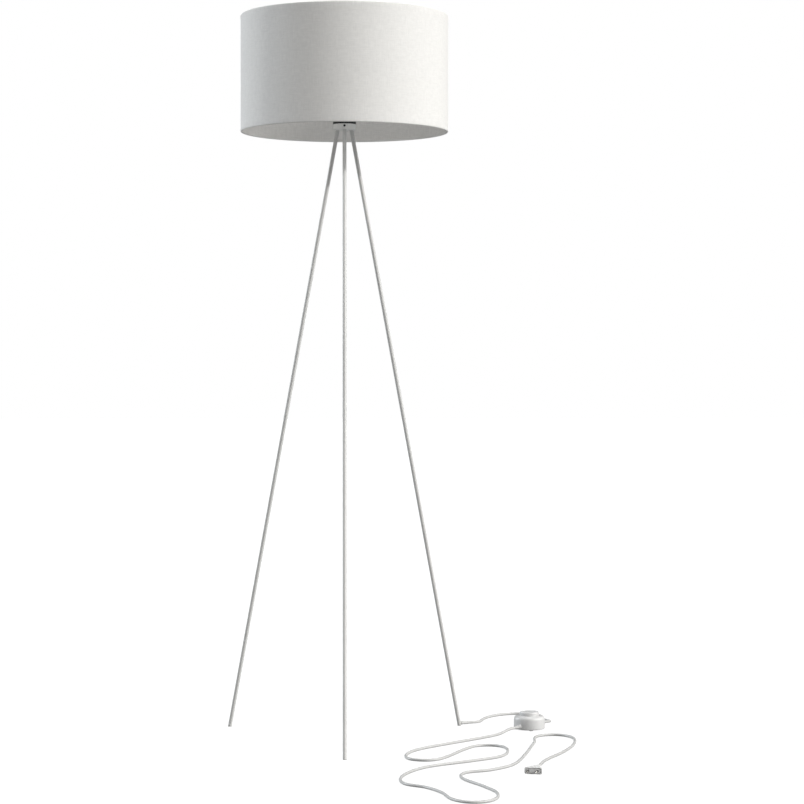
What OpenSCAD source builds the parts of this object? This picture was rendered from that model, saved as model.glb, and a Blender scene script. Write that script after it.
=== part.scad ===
// Tripod floor lamp. Three slim tube legs stand in a small round hub, and a straight
// fabric drum shade hangs round the E27 lampholder on top of it. The lead runs inside the
// right leg, leaves it at the foot, and carries a foot switch and a flat two-pin plug.
// Millimetres. Origin on the floor under the lamp's axis, +Z up, front leg towards -Y.

/* [Stand] */
// Height of the hub's top face above the floor
stand_h = 1330; // [900:10:1700]
// Radius of the circle that the feet stand on
foot_circle_r = 297; // [200:1:360]
// Wall of a leg tube
leg_wall = 0.95; // [0.7:0.05:1.5]
// Thickness of the glide under a leg
glide_t = 1.5; // [1:0.1:3]
// Diameter of the hub
hub_d = 50; // [41:0.5:70]
// Thickness of the hub
hub_h = 12; // [10:0.5:20]
// Metal left above a leg's socket
hub_web = 3; // [2:0.5:4]
// Metal between a leg and the hub's edge, at the underside
hub_edge = 3.45; // [2.5:0.05:5]
// Chamfer round the hub's underside
hub_chamfer = 0.8; // [0.2:0.1:2]
// Diameter of the grub screws that hold the legs
grub_d = 5; // [4:0.5:6]

/* [Shade] */
// Outside diameter of the shade
shade_d = 450; // [300:1:600]
// Height of the shade
shade_h = 250; // [205:1:400]
// How far the shade's lower edge hangs below the hub's top face
shade_drop = 17; // [0:1:60]
// Thickness of the stiff liner
liner_t = 1; // [0.4:0.1:2]
// Thickness of the fabric
fabric_t = 0.6; // [0.3:0.1:1.5]
// Diameter of the two wire rings
wire_d = 3; // [2:0.5:5]
// Diameter of the arms that carry the shade
arm_d = 3.5; // [2.5:0.5:5]

/* [Lampholder] */
// Height of the black cup over the wiring
cup_h = 28; // [24:1:50]
// Wall of the black cup
cup_wall = 1.8; // [1.2:0.1:3]
// Diameter of the lampholder's base
holder_d = 41; // [40:0.5:50]
// Wall of the lampholder's base
holder_wall = 2; // [1.5:0.1:3]
// Outside diameter of the two rings that hold the shade
shade_ring_d = 57; // [52:1:70]
// Diameter of the hollow threaded nipple
nipple_d = 10; // [8:0.5:13]

/* [Bulb] */
// Diameter of the globe
globe_d = 60; // [45:1:80]
// Length of the bulb over its contact
bulb_l = 110; // [100:1:130]

/* [Lead] */
// Diameter of the round lead
cord_d = 6; // [5:0.1:7.2]
// Gap between the lead and what it runs in
lead_gap = 0.3; // [0.2:0.05:0.6]
// Diameter of a core inside the lead
core_d = 2.2; // [1.6:0.1:2.4]

/* [Foot switch] */
// Diameter of the switch's housing
switch_d = 69; // [62:1:90]
// Height of the housing's shoulder above the floor
switch_h = 31; // [28:1:45]
// Wall of the housing
switch_wall = 2.2; // [1.5:0.1:3]
// Width of the shoulder round the button
shoulder_w = 13; // [12:0.5:18]
// How far the button stands above the shoulder
button_rise = 8; // [6:0.5:12]
// Travel of the button
button_travel = 4; // [2:0.5:5]

/* [Plug] */
// Width of the plug's face
plug_w = 35.3; // [34:0.1:37]
// Height of the plug's face
plug_h = 13.7; // [13:0.1:15]
// Length of the plug's body behind its face
plug_l = 36; // [30:1:45]
// Length of the plug's tapered strain relief
relief_l = 24; // [20:1:40]
// Diameter of a plug pin
pin_d = 4; // [4:0.1:4.8]
// Distance between the two pins
pin_spacing = 18.6; // [18:0.1:19.5]
// Length of a pin in front of the face
pin_l = 19; // [17:0.5:20]
// Length of the bare metal tip of a pin
pin_tip_l = 9; // [7:0.5:10]

/* [Hidden] */
$fn = 96;

// Clearances
thread_gap = 0.05;   // radial, at a screwed fit
slip_gap = 0.1;      // radial, at a pushed fit
face_gap = 0.05;     // between faces that are laid on each other
butt_gap = cord_d / 20;  // along a lead, where two stretches meet end to end
move_gap = 0.6;      // radial, round the switch's button
cut = 1;             // how far a cutter runs past the face that it opens

// Stand
leg_az = [-90, 30, 150];
leg_bore = cord_d + 2 * lead_gap;
leg_d = leg_bore + 2 * leg_wall;
leg_circle_r = hub_d / 2 - hub_edge - leg_d / 2;
hub_z = stand_h - hub_h;
lean = atan((foot_circle_r - leg_circle_r) / hub_z);
leg_top_z = stand_h - hub_web;
leg_l = leg_top_z / cos(lean);
spigot_l = 8;
grommet_d = cord_d + 1;
exit_z = glide_t + 0.7 + grommet_d / 2;
grub_z = stand_h - 4.3;
grub_recess = 1.2;

// Lead routes, by hand: the lamp's foot to the switch, and the switch to the plug
lamp_route = [
    [277, 160, 5.2], [290, 167.5, 4.6], [300, 177, 4], [307, 191, 3.4], [313, 215, 3],
    [323, 243, 3], [338, 267, 3], [358, 287, 3], [382, 300, 3], [406, 303, 3],
    [426, 293, 3], [437, 271, 3], [442, 245, 3], [452, 217, 3], [460, 193, 3.4],
    [462.5, 172, 5.6], [458.5, 153.5, 8], [446, 136, 9]
];
mains_route = [
    [374, 54, 9], [363, 41.5, 8.5], [340, 8, 4], [310, -28, 3], [178, -162, 3],
    [142, -212, 3], [126, -268, 3], [135, -311, 3], [169, -325, 3], [199, -303, 3],
    [271, -157, 3], [306, -141, 3], [336, -166, 3], [338, -235, 3], [318, -285, 3],
    [262, -332, 3], [170, -398, 3], [130, -458, 3], [109, -530, 3], [116, -590, 3],
    [155, -628, 3], [182, -680, 3], [202, -755, 3], [238, -782, 3], [276, -758, 3],
    [287, -690, 3], [266, -620, 3], [229, -530, 3], [238, -472, 3], [290, -441, 3],
    [337, -385, 3], [364, -300, 3], [405, -104, 3], [418, -25, 3], [461, -6, 3],
    [492, -43, 3], [487, -130, 3], [455, -230, 3], [412, -330, 4.5], [388, -418, 6.85]
];
cord_ring_gap = 48;
cord_sides = 8;

// Lampholder, from the cup upwards
cup_top_wall = 2.5;
wire_hole_d = 7;
wire_hole_r = 13;
lead_end_z = stand_h + 8;
holder_z = stand_h + cup_h;
holder_floor = 2.5;
base_h = 18;
nipple_grip = 9;
nipple_z = stand_h - nipple_grip;
nipple_top = holder_z + holder_floor + 2;
nut_h = 3.5;
nut_across = nipple_d + 4;
insert_z = holder_z + 10;
insert_h = 11.5;
insert_r = holder_d / 2 - holder_wall - 0.3;
block_size = [7, 6, 6.5];
block_r = 10;
block_z = insert_z - block_size.z / 2 - face_gap;
block_hole_d = core_d + 0.5;
block_screw_d = 2.5;
insert_top = insert_z + insert_h;
skirt_z = holder_z + base_h + face_gap;
skirt_flange_h = 4;
skirt_h = 36;
skirt_d = holder_d - 1.4;
shell_d = 28.5;
shell_wall = 0.5;
shell_h = 24;
contact_h = 2.8;
shade_ring_h = 4.5;
lower_ring_z = skirt_z + 12;
fitter_z = lower_ring_z + shade_ring_h + face_gap;
fitter_t = 2;
fitter_bore = 42;
fitter_d = shade_ring_d + 6;
upper_ring_z = fitter_z + fitter_t + face_gap;

// Shade
shade_r = shade_d / 2;
shade_z = stand_h - shade_drop;
shade_top = shade_z + shade_h;
binding_t = 0.5;
rim_r = wire_d / 2 + face_gap + binding_t;
wall_z = shade_z + 2 * rim_r + face_gap;
wall_h = shade_h - 4 * rim_r - 2 * face_gap;
fabric_in_r = shade_r - fabric_t;
liner_out_r = fabric_in_r - face_gap;
arm_az = [90, 210, 330];
arm_low = [fitter_d / 2 - 3, 0, fitter_z + fitter_t / 2 - 2.5];
arm_high = [shade_r - rim_r, 0, shade_top - rim_r];

// Bulb
cap_d = 26.3;
tip_z = insert_top + face_gap + contact_h + 0.2;
cap_z = tip_z + 3.5;
cap_l = 21;
neck_z = cap_z + cap_l;
globe_z = tip_z + bulb_l - globe_d / 2;
glass_t = 1.2;

// Foot switch
switch_c = [410, 95, 0];
bush_z = mains_route[0].z;
cord_dir = atan2(lamp_route[len(lamp_route) - 1].y - switch_c.y,
                 lamp_route[len(lamp_route) - 1].x - switch_c.x);
cord_reach = norm([mains_route[0].x - switch_c.x, mains_route[0].y - switch_c.y]);
switch_r = switch_d / 2;
pad_t = 1.5;
pad_d = 9;
base_t = 2.5;
housing_z = pad_t + 0.3;
base_top = pad_t + base_t;
shoulder_round = 7;
button_d = switch_d - 2 * shoulder_w;
button_top = switch_h + button_rise;
button_wall = 2;
button_round = 3;
flange_h = 2;
flange_z = switch_h - switch_wall - 0.2 - flange_h;
flange_d = button_d + 2 * move_gap + 2.2;
boss_r = switch_r - switch_wall - 4.3;
boss_d = 6;
boss_top = 20;
screw_d = 2.9;
screw_head_d = 5.4;
mechanism = [16, 24, 13];
mechanism_top = base_top + mechanism.z;
plunger_d = 5;
plunger_top = button_top - button_wall;
spring_r = 8;
spring_wire = 1;
spring_turns = 5;
bush_d = 8.4;
bush_flange_d = 9.4;
bush_tip_d = cord_d + 0.8;
clamp_r = 25;
clamp_post_d = 5;
clamp_screw_d = 2.5;
clamp_screw_y = cord_d / 2 + slip_gap + clamp_post_d / 2;
clamp_size = [5, 2 * clamp_screw_y + 3.8, 2.5];
clamp_z = bush_z + cord_d / 2 + face_gap;

// Plug, laid flat, its cord end at the end of the route
plug_end = mains_route[len(mains_route) - 1];
plug_from = mains_route[len(mains_route) - 2];
plug_dir = atan2(plug_end.y - plug_from.y, plug_end.x - plug_from.x);
plug_face_x = relief_l + plug_l;
plug_back_w = 15;
plug_back_h = 11;
plug_corner = 3;
carrier = [9, 27, 9];
sleeve_d = pin_d - 0.4;
pin_core_d = 2.8;
pin_root_l = 7;

// ---------- shared shapes ----------

// A round bar or cone from point a to point b
module bar(a, b, d, d_end = 0) {
    v = b - a;
    end = d_end == 0 ? d : d_end;
    translate(a)
        rotate([0, acos(v.z / norm(v)), atan2(v.y, v.x)])
            cylinder(h = norm(v), d1 = d, d2 = end);
}

// A round wire through points, with a ball at each bend, in line with the bar after it
module wire(points, d) {
    for (i = [0 : len(points) - 2])
        bar(points[i], points[i + 1], d);
    for (i = [1 : len(points) - 2])
        let (v = points[i + 1] - points[i])
            translate(points[i])
                rotate([0, acos(v.z / norm(v)), atan2(v.y, v.x)])
                    sphere(d = d + 0.3);
}

// A ring that lies flat: a tube with its lower face at z
module ring(z, h, d, bore) {
    translate([0, 0, z])
        difference() {
            cylinder(h = h, d = d);
            translate([0, 0, -cut]) cylinder(h = h + 2 * cut, d = bore);
        }
}

// A round wire bent to a flat circle of radius r
module hoop(r, z, d) {
    translate([0, 0, z]) rotate_extrude() translate([r, 0]) circle(d = d);
}

// Unit direction of a route at its point i
function way(p, i) =
    let (v = p[min(i + 1, len(p) - 1)] - p[max(i - 1, 0)]) v / norm(v);

// The point at share t of the smooth curve from point i to the next
function on_curve(p, i, t) =
    let (reach = norm(p[i + 1] - p[i]) / 3,
         b = p[i] + reach * way(p, i),
         c = p[i + 1] - reach * way(p, i + 1))
    pow(1 - t, 3) * p[i] + 3 * t * pow(1 - t, 2) * b
        + 3 * t * t * (1 - t) * c + pow(t, 3) * p[i + 1];

// A route filled in so that its points are about gap apart
function smooth(p, gap) = concat(
    [for (i = [0 : len(p) - 2])
        let (n = max(1, round(norm(p[i + 1] - p[i]) / gap)))
        for (k = [0 : n - 1]) on_curve(p, i, k / n)],
    [p[len(p) - 1]]);

// One ring of points round point i of a route, square to it
function ring_points(p, i, d, sides) =
    let (t = way(p, i),
         across = cross(t, [0, 0, 1]) / norm(cross(t, [0, 0, 1])),
         over = cross(across, t))
    [for (k = [0 : sides - 1])
        let (a = 360 * (k + 0.5) / sides) p[i] + d / 2 * (cos(a) * across + sin(a) * over)];

// A tube swept along points
module tube_along(p, d, sides) {
    n = len(p);
    rings = [for (i = [0 : n - 1]) each ring_points(p, i, d, sides)];
    start = [for (k = [0 : sides - 1]) k];
    finish = [for (k = [sides - 1 : -1 : 0]) (n - 1) * sides + k];
    skin = [for (i = [0 : n - 2], k = [0 : sides - 1], half = [0, 1])
        let (a = i * sides + k,
             b = i * sides + (k + 1) % sides,
             c = a + sides,
             e = b + sides)
        half == 0 ? [a, c, e] : [a, e, b]];
    polyhedron(points = rings, faces = concat([start], skin, [finish]), convexity = 10);
}

// The frame of leg i: its foot at the origin, +Z up along its axis
module on_leg(i) {
    rotate(leg_az[i])
        translate([foot_circle_r, 0, 0])
            rotate([0, -lean, 0])
                children();
}

// The point at height z on the axis of leg i
function leg_point(i, z) =
    let (r = foot_circle_r - z * tan(lean)) [r * cos(leg_az[i]), r * sin(leg_az[i]), z];

// A block round the foot of leg i, from height z0 up to z1
module foot_block(i, z0, z1) {
    rotate(leg_az[i])
        translate([foot_circle_r - 2 * leg_d, -2 * leg_d, z0])
            cube([4 * leg_d, 4 * leg_d, z1 - z0]);
}

// The frame of the foot switch: its axis at the origin, +X towards the lamp's lead
module on_switch() {
    translate(switch_c) rotate(cord_dir) children();
}

// The frame of the plug: its cord end at the origin, +X towards the pins
module on_plug() {
    translate(plug_end) rotate(plug_dir) children();
}

// ---------- stand ----------

module leg_tube(i) {
    color("white")
    difference() {
        on_leg(i)
            translate([0, 0, -leg_d])
                cylinder(h = leg_l + leg_d, d = leg_d);
        on_leg(i)
            translate([0, 0, -leg_d - cut])
                cylinder(h = leg_l + leg_d + 2 * cut, d = leg_bore);
        foot_block(i, -3 * leg_d, glide_t);
    }
}

module leg_front() { leg_tube(0); }

module leg_left() { leg_tube(2); }

// The leg that carries the lead has a round outlet at its foot
module leg_right() {
    color("white")
    difference() {
        leg_tube(1);
        bar(leg_point(1, exit_z), lamp_route[0], grommet_d + 2 * slip_gap);
    }
}

module glide(i, spigot) {
    color("gainsboro")
    union() {
        intersection() {
            on_leg(i) translate([0, 0, -leg_d]) cylinder(h = 3 * leg_d, d = leg_d);
            foot_block(i, 0, glide_t - face_gap);
        }
        intersection() {
            on_leg(i) translate([0, 0, -leg_d]) cylinder(h = 3 * leg_d, d = leg_bore - 2 * slip_gap);
            foot_block(i, glide_t / 2, glide_t + spigot);
        }
    }
}

module glide_front() { glide(0, spigot_l); }

module glide_left() { glide(2, spigot_l); }

// Short, because the lead turns out of the leg just above it
module glide_right() { glide(1, exit_z - grommet_d / 2 - slip_gap - glide_t); }

module leg_hub() {
    color("white")
    difference() {
        translate([0, 0, hub_z])
            rotate_extrude()
                polygon([
                    [0, 0], [hub_d / 2 - hub_chamfer, 0], [hub_d / 2, hub_chamfer],
                    [hub_d / 2, hub_h], [0, hub_h]
                ]);
        for (i = [0 : 2])
            on_leg(i)
                translate([0, 0, leg_l - 2 * hub_h])
                    cylinder(h = 2 * hub_h + slip_gap, d = leg_d + 2 * slip_gap);
        on_leg(1) translate([0, 0, leg_l - cut]) cylinder(h = 2 * hub_h, d = leg_bore);
        translate([0, 0, nipple_z - face_gap])
            cylinder(h = hub_h, d = nipple_d + 2 * thread_gap);
        for (az = leg_az)
            rotate(az)
                translate([leg_circle_r, 0, grub_z])
                    rotate([0, 90, 0])
                        cylinder(h = hub_d, d = grub_d + 2 * thread_gap);
    }
}

// The three hexagon-socket grub screws
module grub_screws() {
    leg_r = foot_circle_r - grub_z * tan(lean) + leg_d / 2 / cos(lean);
    tip_r = leg_r + grub_d / 2 * tan(lean) + slip_gap;
    grub_l = hub_d / 2 - grub_recess - tip_r;
    color("dimgray")
    for (az = leg_az)
        rotate(az)
            translate([tip_r, 0, grub_z])
                rotate([0, 90, 0])
                    difference() {
                        cylinder(h = grub_l, d = grub_d);
                        translate([0, 0, grub_l / 2])
                            cylinder(h = grub_l, d = grub_d / 2, $fn = 6);
                    }
}

module threaded_nipple() {
    color("goldenrod")
        ring(nipple_z, nipple_top - nipple_z, nipple_d, nipple_d - 3);
}

module nipple_nut() {
    color("silver")
    translate([0, 0, stand_h + face_gap])
        difference() {
            cylinder(h = nut_h, d = nut_across / cos(30), $fn = 6);
            translate([0, 0, -cut]) cylinder(h = nut_h + 2 * cut, d = nipple_d + 2 * thread_gap);
        }
}

module wiring_cup() {
    color([0.07, 0.07, 0.07])
    difference() {
        translate([0, 0, stand_h + face_gap]) cylinder(h = cup_h - face_gap, d = hub_d);
        translate([0, 0, stand_h - cut])
            cylinder(h = cup_h - cup_top_wall + cut, d = hub_d - 2 * cup_wall);
        translate([0, 0, holder_z - 2 * cup_top_wall])
            cylinder(h = 3 * cup_top_wall, d = nipple_d + 2 * slip_gap);
        rotate(leg_az[1])
            translate([wire_hole_r, 0, holder_z - 2 * cup_top_wall])
                cylinder(h = 3 * cup_top_wall, d = wire_hole_d);
    }
}

// ---------- lead inside the lamp ----------

// The sheathed lead, from the grommet up the right leg into the cup
module leg_lead() {
    turn = leg_point(1, exit_z);
    out = lamp_route[0] - butt_gap * way([turn, lamp_route[0]], 0);
    color("white") wire([out, turn, leg_point(1, lead_end_z)], cord_d);
}

module lead_grommet() {
    a = leg_point(1, exit_z);
    v = way([a, lamp_route[0]], 0);
    wall = leg_d / 2 / cos(lean);
    color("whitesmoke")
    difference() {
        union() {
            bar(a + (leg_bore / 2 + 0.1) * v, a + (wall + 1) * v, grommet_d);
            difference() {
                bar(a + wall * v, a + (wall + 1.6) * v, grommet_d + 1.4);
                on_leg(1)
                    translate([0, 0, -leg_d])
                        cylinder(h = 5 * leg_d, d = leg_d + 2 * slip_gap);
            }
            bar(a + (wall + 1.5) * v, lamp_route[0], grommet_d + 0.6, cord_d + 0.8);
        }
        bar(a, lamp_route[0] + v, cord_d + 2 * thread_gap);
        on_leg(1) cylinder(h = 4 * leg_d, d = leg_bore);
    }
}

// A tie round the lead above the hub stops the lead from being pulled out
module cable_tie() {
    tie_z = (stand_h + 1.4) / cos(lean);
    color("white")
    on_leg(1)
        translate([0, 0, tie_z])
            difference() {
                union() {
                    cylinder(h = 3.5, d = cord_d + 2.4);
                    translate([0, cord_d / 2 + 0.6, 0]) cube([4, 3, 3.5]);
                }
                translate([0, 0, -cut]) cylinder(h = 3.5 + 2 * cut, d = cord_d + 2 * thread_gap);
            }
}

// One core, from the end of the lead to terminal block k (-1 or 1)
module holder_core(k) {
    toward = [cos(leg_az[1]), sin(leg_az[1]), 0];
    aside = [-sin(leg_az[1]), cos(leg_az[1]), 0] * k;
    hole = toward * wire_hole_r + aside * core_d * 0.6;
    block = aside * block_r + [0, 0, block_z];
    start = leg_point(1, lead_end_z + 0.3) + aside * core_d * 0.6;
    wire([start, hole + [0, 0, block_z], block + toward * 6, block], core_d);
}

module live_core() { color("saddlebrown") holder_core(1); }

module neutral_core() { color("royalblue") holder_core(-1); }

// ---------- lampholder ----------

module holder_base() {
    color([0.08, 0.08, 0.08])
    difference() {
        translate([0, 0, holder_z + face_gap]) cylinder(h = base_h - face_gap, d = holder_d);
        translate([0, 0, holder_z + holder_floor])
            cylinder(h = base_h, d = holder_d - 2 * holder_wall);
        translate([0, 0, holder_z - cut])
            cylinder(h = holder_floor + 2 * cut, d = nipple_d + 2 * thread_gap);
        rotate(leg_az[1])
            translate([wire_hole_r, 0, holder_z - cut])
                cylinder(h = holder_floor + 2 * cut, d = wire_hole_d);
    }
}

module holder_insert() {
    color("ivory")
        translate([0, 0, insert_z]) cylinder(h = insert_h, r = insert_r);
}

// The frame of terminal block k (-1 or 1): +X along its wire hole, +Y outwards
module on_block(k) {
    rotate(leg_az[1] - 90 + 90 * k)
        translate([0, block_r, block_z])
            children();
}

module terminal_blocks() {
    color("goldenrod")
    for (k = [-1, 1])
        on_block(k)
            difference() {
                cube(block_size, center = true);
                rotate([0, 90, 0])
                    cylinder(h = 2 * block_size.x, d = block_hole_d, center = true);
                rotate([-90, 0, 0])
                    cylinder(h = block_size.y, d = block_screw_d + 2 * thread_gap);
            }
}

module terminal_screws() {
    color("silver")
    for (k = [-1, 1])
        on_block(k)
            translate([0, core_d / 2 + slip_gap, 0])
                rotate([-90, 0, 0])
                    cylinder(h = 3, d = block_screw_d);
}

// The sprung tongue under the bulb's tip
module centre_contact() {
    color("gold")
    translate([0, 0, insert_top + face_gap])
        union() {
            translate([-9, -2.5, 0]) cube([18, 5, 0.6]);
            cylinder(h = contact_h, d = 6);
        }
}

module screw_shell() {
    z = insert_top + face_gap;
    color("gold")
    difference() {
        ring(z + 1, shell_h, shell_d, shell_d - 2 * shell_wall);
        translate([-shell_d, -4, z]) cube([2 * shell_d, 8, 2]);
    }
}

module holder_skirt() {
    foot_r = insert_r + 0.3;
    color([0.08, 0.08, 0.08])
    translate([0, 0, skirt_z])
        rotate_extrude()
            polygon([
                [foot_r, 0], [holder_d / 2, 0], [holder_d / 2, skirt_flange_h],
                [skirt_d / 2, skirt_flange_h], [skirt_d / 2, skirt_h],
                [shell_d / 2 + slip_gap, skirt_h], [shell_d / 2 + slip_gap, skirt_flange_h + 0.5],
                [foot_r, skirt_flange_h]
            ]);
}

module shade_ring(z) {
    grips = 24;
    color([0.1, 0.1, 0.1])
    difference() {
        ring(z, shade_ring_h, shade_ring_d, skirt_d + 2 * thread_gap);
        for (k = [0 : grips - 1])
            rotate(k * 360 / grips)
                translate([shade_ring_d / 2 + 0.6, 0, z - cut])
                    cylinder(h = shade_ring_h + 2 * cut, d = 3);
    }
}

module lower_shade_ring() { shade_ring(lower_ring_z); }

module upper_shade_ring() { shade_ring(upper_ring_z); }

// ---------- shade ----------

module fitter_ring() {
    color("white") ring(fitter_z, fitter_t, fitter_d, fitter_bore);
}

// Three wires, welded to the fitter ring below and to the top wire above
module fitter_arms() {
    color("white")
    difference() {
        for (az = arm_az)
            rotate(az) bar(arm_low, arm_high, arm_d);
        translate([0, 0, fitter_z - 2 * arm_d])
            cylinder(h = 4 * arm_d + fitter_t, d = fitter_d);
        hoop(shade_r - rim_r, shade_top - rim_r, wire_d);
    }
}

module top_wire() { color("white") hoop(shade_r - rim_r, shade_top - rim_r, wire_d); }

module bottom_wire() { color("white") hoop(shade_r - rim_r, shade_z + rim_r, wire_d); }

// The fabric that is turned round a wire ring
module binding(z) {
    translate([0, 0, z])
        rotate_extrude()
            translate([shade_r - rim_r, 0])
                difference() {
                    circle(r = rim_r);
                    circle(d = wire_d + 2 * face_gap);
                }
}

module top_binding() {
    color([0.93, 0.92, 0.9])
    difference() {
        binding(shade_top - rim_r);
        for (az = arm_az)
            rotate(az) bar(arm_low, arm_high, arm_d + 2 * slip_gap);
    }
}

module bottom_binding() { color([0.93, 0.92, 0.9]) binding(shade_z + rim_r); }

module shade_liner() {
    color("white") ring(wall_z, wall_h, 2 * liner_out_r, 2 * (liner_out_r - liner_t));
}

module shade_fabric() {
    color([0.93, 0.92, 0.9]) ring(wall_z, wall_h, shade_d, 2 * fabric_in_r);
}

// ---------- bulb ----------

module bulb_globe() {
    mouth_r = globe_d * 0.28;
    mouth_z = globe_z - sqrt(pow(globe_d / 2, 2) - pow(mouth_r, 2));
    color([0.97, 0.97, 0.95])
    difference() {
        translate([0, 0, globe_z]) sphere(d = globe_d);
        translate([0, 0, globe_z]) sphere(d = globe_d - 2 * glass_t);
        translate([0, 0, mouth_z - globe_d]) cylinder(h = globe_d, d = globe_d);
    }
}

// The plastic neck between the cap and the globe
module bulb_neck() {
    top_r = globe_d * 0.28;
    top_z = globe_z - sqrt(pow(globe_d / 2, 2) - pow(top_r, 2)) - face_gap;
    color("white")
    translate([0, 0, neck_z + face_gap])
        cylinder(h = top_z - neck_z - face_gap, r1 = cap_d / 2 + 0.7, r2 = top_r);
}

module bulb_cap() {
    color("silver")
    translate([0, 0, cap_z])
        difference() {
            cylinder(h = cap_l, d = cap_d);
            translate([0, 0, 1]) cylinder(h = cap_l, d = cap_d - 1.2);
            translate([0, 0, -cut]) cylinder(h = 3, d = 14);
        }
}

// The glass insulator under the cap and its metal tip
module bulb_contact() {
    color("dimgray")
    translate([0, 0, tip_z])
        union() {
            cylinder(h = 1.2, d = 7);
            translate([0, 0, 1]) cylinder(h = 4.5, d = 13.6);
        }
}

// ---------- free leads ----------

module cord_lamp() {
    color("white") tube_along(smooth(lamp_route, cord_ring_gap), cord_d, cord_sides);
}

module cord_mains() {
    color("white") tube_along(smooth(mains_route, cord_ring_gap), cord_d, cord_sides);
}

// ---------- foot switch ----------

// Half outline of a round-shouldered drum of radius r, from height z0 up to z1
module drum_outline(r, z0, z1, corner) {
    translate([0, z0]) square([r - corner, z1 - z0]);
    translate([0, z0]) square([r, z1 - z0 - corner]);
    translate([r - corner, z1 - corner]) circle(r = corner);
}

// The frame of each of the four housing screws
module at_bosses() {
    for (az = [45 : 90 : 315])
        rotate(az) translate([boss_r, 0, 0]) children();
}

module switch_base() {
    color("white")
    on_switch()
        difference() {
            union() {
                translate([0, 0, pad_t])
                    cylinder(h = base_t, r = switch_r - switch_wall - slip_gap);
                for (side = [-1, 1], end = [-1, 1])
                    translate([end * clamp_r, side * clamp_screw_y, pad_t])
                        cylinder(h = clamp_z - pad_t - face_gap, d = clamp_post_d);
            }
            at_bosses() translate([0, 0, -cut]) cylinder(h = 8, d = screw_d + 2 * slip_gap);
            at_bosses()
                translate([0, 0, pad_t - cut]) cylinder(h = 1.5 + cut, d = screw_head_d + 0.4);
            for (side = [-1, 1], end = [-1, 1])
                translate([end * clamp_r, side * clamp_screw_y, base_top])
                    cylinder(h = 20, d = clamp_screw_d + 2 * thread_gap);
        }
}

module switch_housing() {
    color("white")
    on_switch()
        difference() {
            union() {
                difference() {
                    rotate_extrude()
                        drum_outline(switch_r, housing_z, switch_h, shoulder_round);
                    rotate_extrude()
                        drum_outline(switch_r - switch_wall, -cut, switch_h - switch_wall,
                                     shoulder_round - switch_wall);
                }
                at_bosses() {
                    translate([0, 0, base_top + face_gap])
                        cylinder(h = boss_top - base_top, d = boss_d);
                    translate([0, -1, base_top + face_gap])
                        cube([switch_r - switch_wall / 2 - boss_r, 2, boss_top - base_top]);
                }
            }
            translate([0, 0, switch_h - 2 * switch_wall])
                cylinder(h = 3 * switch_wall, d = button_d + 2 * move_gap);
            at_bosses() cylinder(h = boss_top - 4, d = screw_d + 2 * thread_gap);
            translate([-switch_d, 0, bush_z])
                rotate([0, 90, 0])
                    cylinder(h = 2 * switch_d, d = bush_d + 2 * slip_gap);
        }
}

module switch_button() {
    color("white")
    on_switch()
        difference() {
            union() {
                rotate_extrude()
                    drum_outline(button_d / 2, flange_z, button_top, button_round);
                translate([0, 0, flange_z]) cylinder(h = flange_h, d = flange_d);
            }
            translate([0, 0, flange_z - cut])
                cylinder(h = button_top - button_wall - flange_z + cut, d = button_d - 2 * button_wall);
        }
}

// The stem under the button, which runs in the mechanism's bore
module switch_plunger() {
    color([0.1, 0.1, 0.1])
    on_switch()
        translate([0, 0, mechanism_top - 3])
            cylinder(h = plunger_top - mechanism_top + 3 - face_gap, d = plunger_d);
}

module switch_spring() {
    z0 = mechanism_top + spring_wire / 2 + slip_gap;
    z1 = plunger_top - spring_wire / 2 - slip_gap;
    steps = 12 * spring_turns;
    coil = [for (k = [0 : steps])
        let (a = 360 * k / 12)
        [spring_r * cos(a), spring_r * sin(a), z0 + (z1 - z0) * k / steps]];
    color("silver") on_switch() tube_along(coil, spring_wire, 6);
}

module switch_mechanism() {
    color([0.12, 0.12, 0.12])
    on_switch()
        difference() {
            translate([-mechanism.x / 2, -mechanism.y / 2, base_top + face_gap])
                cube(mechanism - [0, 0, face_gap]);
            translate([0, 0, mechanism_top - 4 - button_travel])
                cylinder(h = 20, d = plunger_d + 0.4);
        }
}

module switch_terminals() {
    color("goldenrod")
    on_switch()
        for (end = [-1, 1])
            translate([end * (mechanism.x / 2 + 2.5 + face_gap), 0, bush_z])
                cube([5, 5, 6], center = true);
}

// The three short wires inside the switch: live in, live out, and neutral straight past
module switch_cores() {
    live_y = 0;
    neutral_y = 2.4;
    past_y = mechanism.y / 2 + 3;
    lead_in = clamp_r - 5.2;
    block_out = mechanism.x / 2 + 5 + 3 * face_gap;
    color("saddlebrown")
    on_switch()
        for (end = [-1, 1])
            bar([end * lead_in, live_y, bush_z], [end * block_out, live_y, bush_z], core_d);
    color("royalblue")
    on_switch()
        wire([[lead_in, neutral_y, bush_z], [lead_in - 5, past_y, bush_z],
              [5 - lead_in, past_y, bush_z], [-lead_in, neutral_y, bush_z]], core_d * 0.9);
}

// The sheathed ends of both leads, from the bushes to just past the clamps
module switch_leads() {
    color("white")
    on_switch()
        for (end = [-1, 1])
            bar([end * (cord_reach - butt_gap), 0, bush_z],
                [end * (clamp_r - 4), 0, bush_z], cord_d);
}

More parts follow.
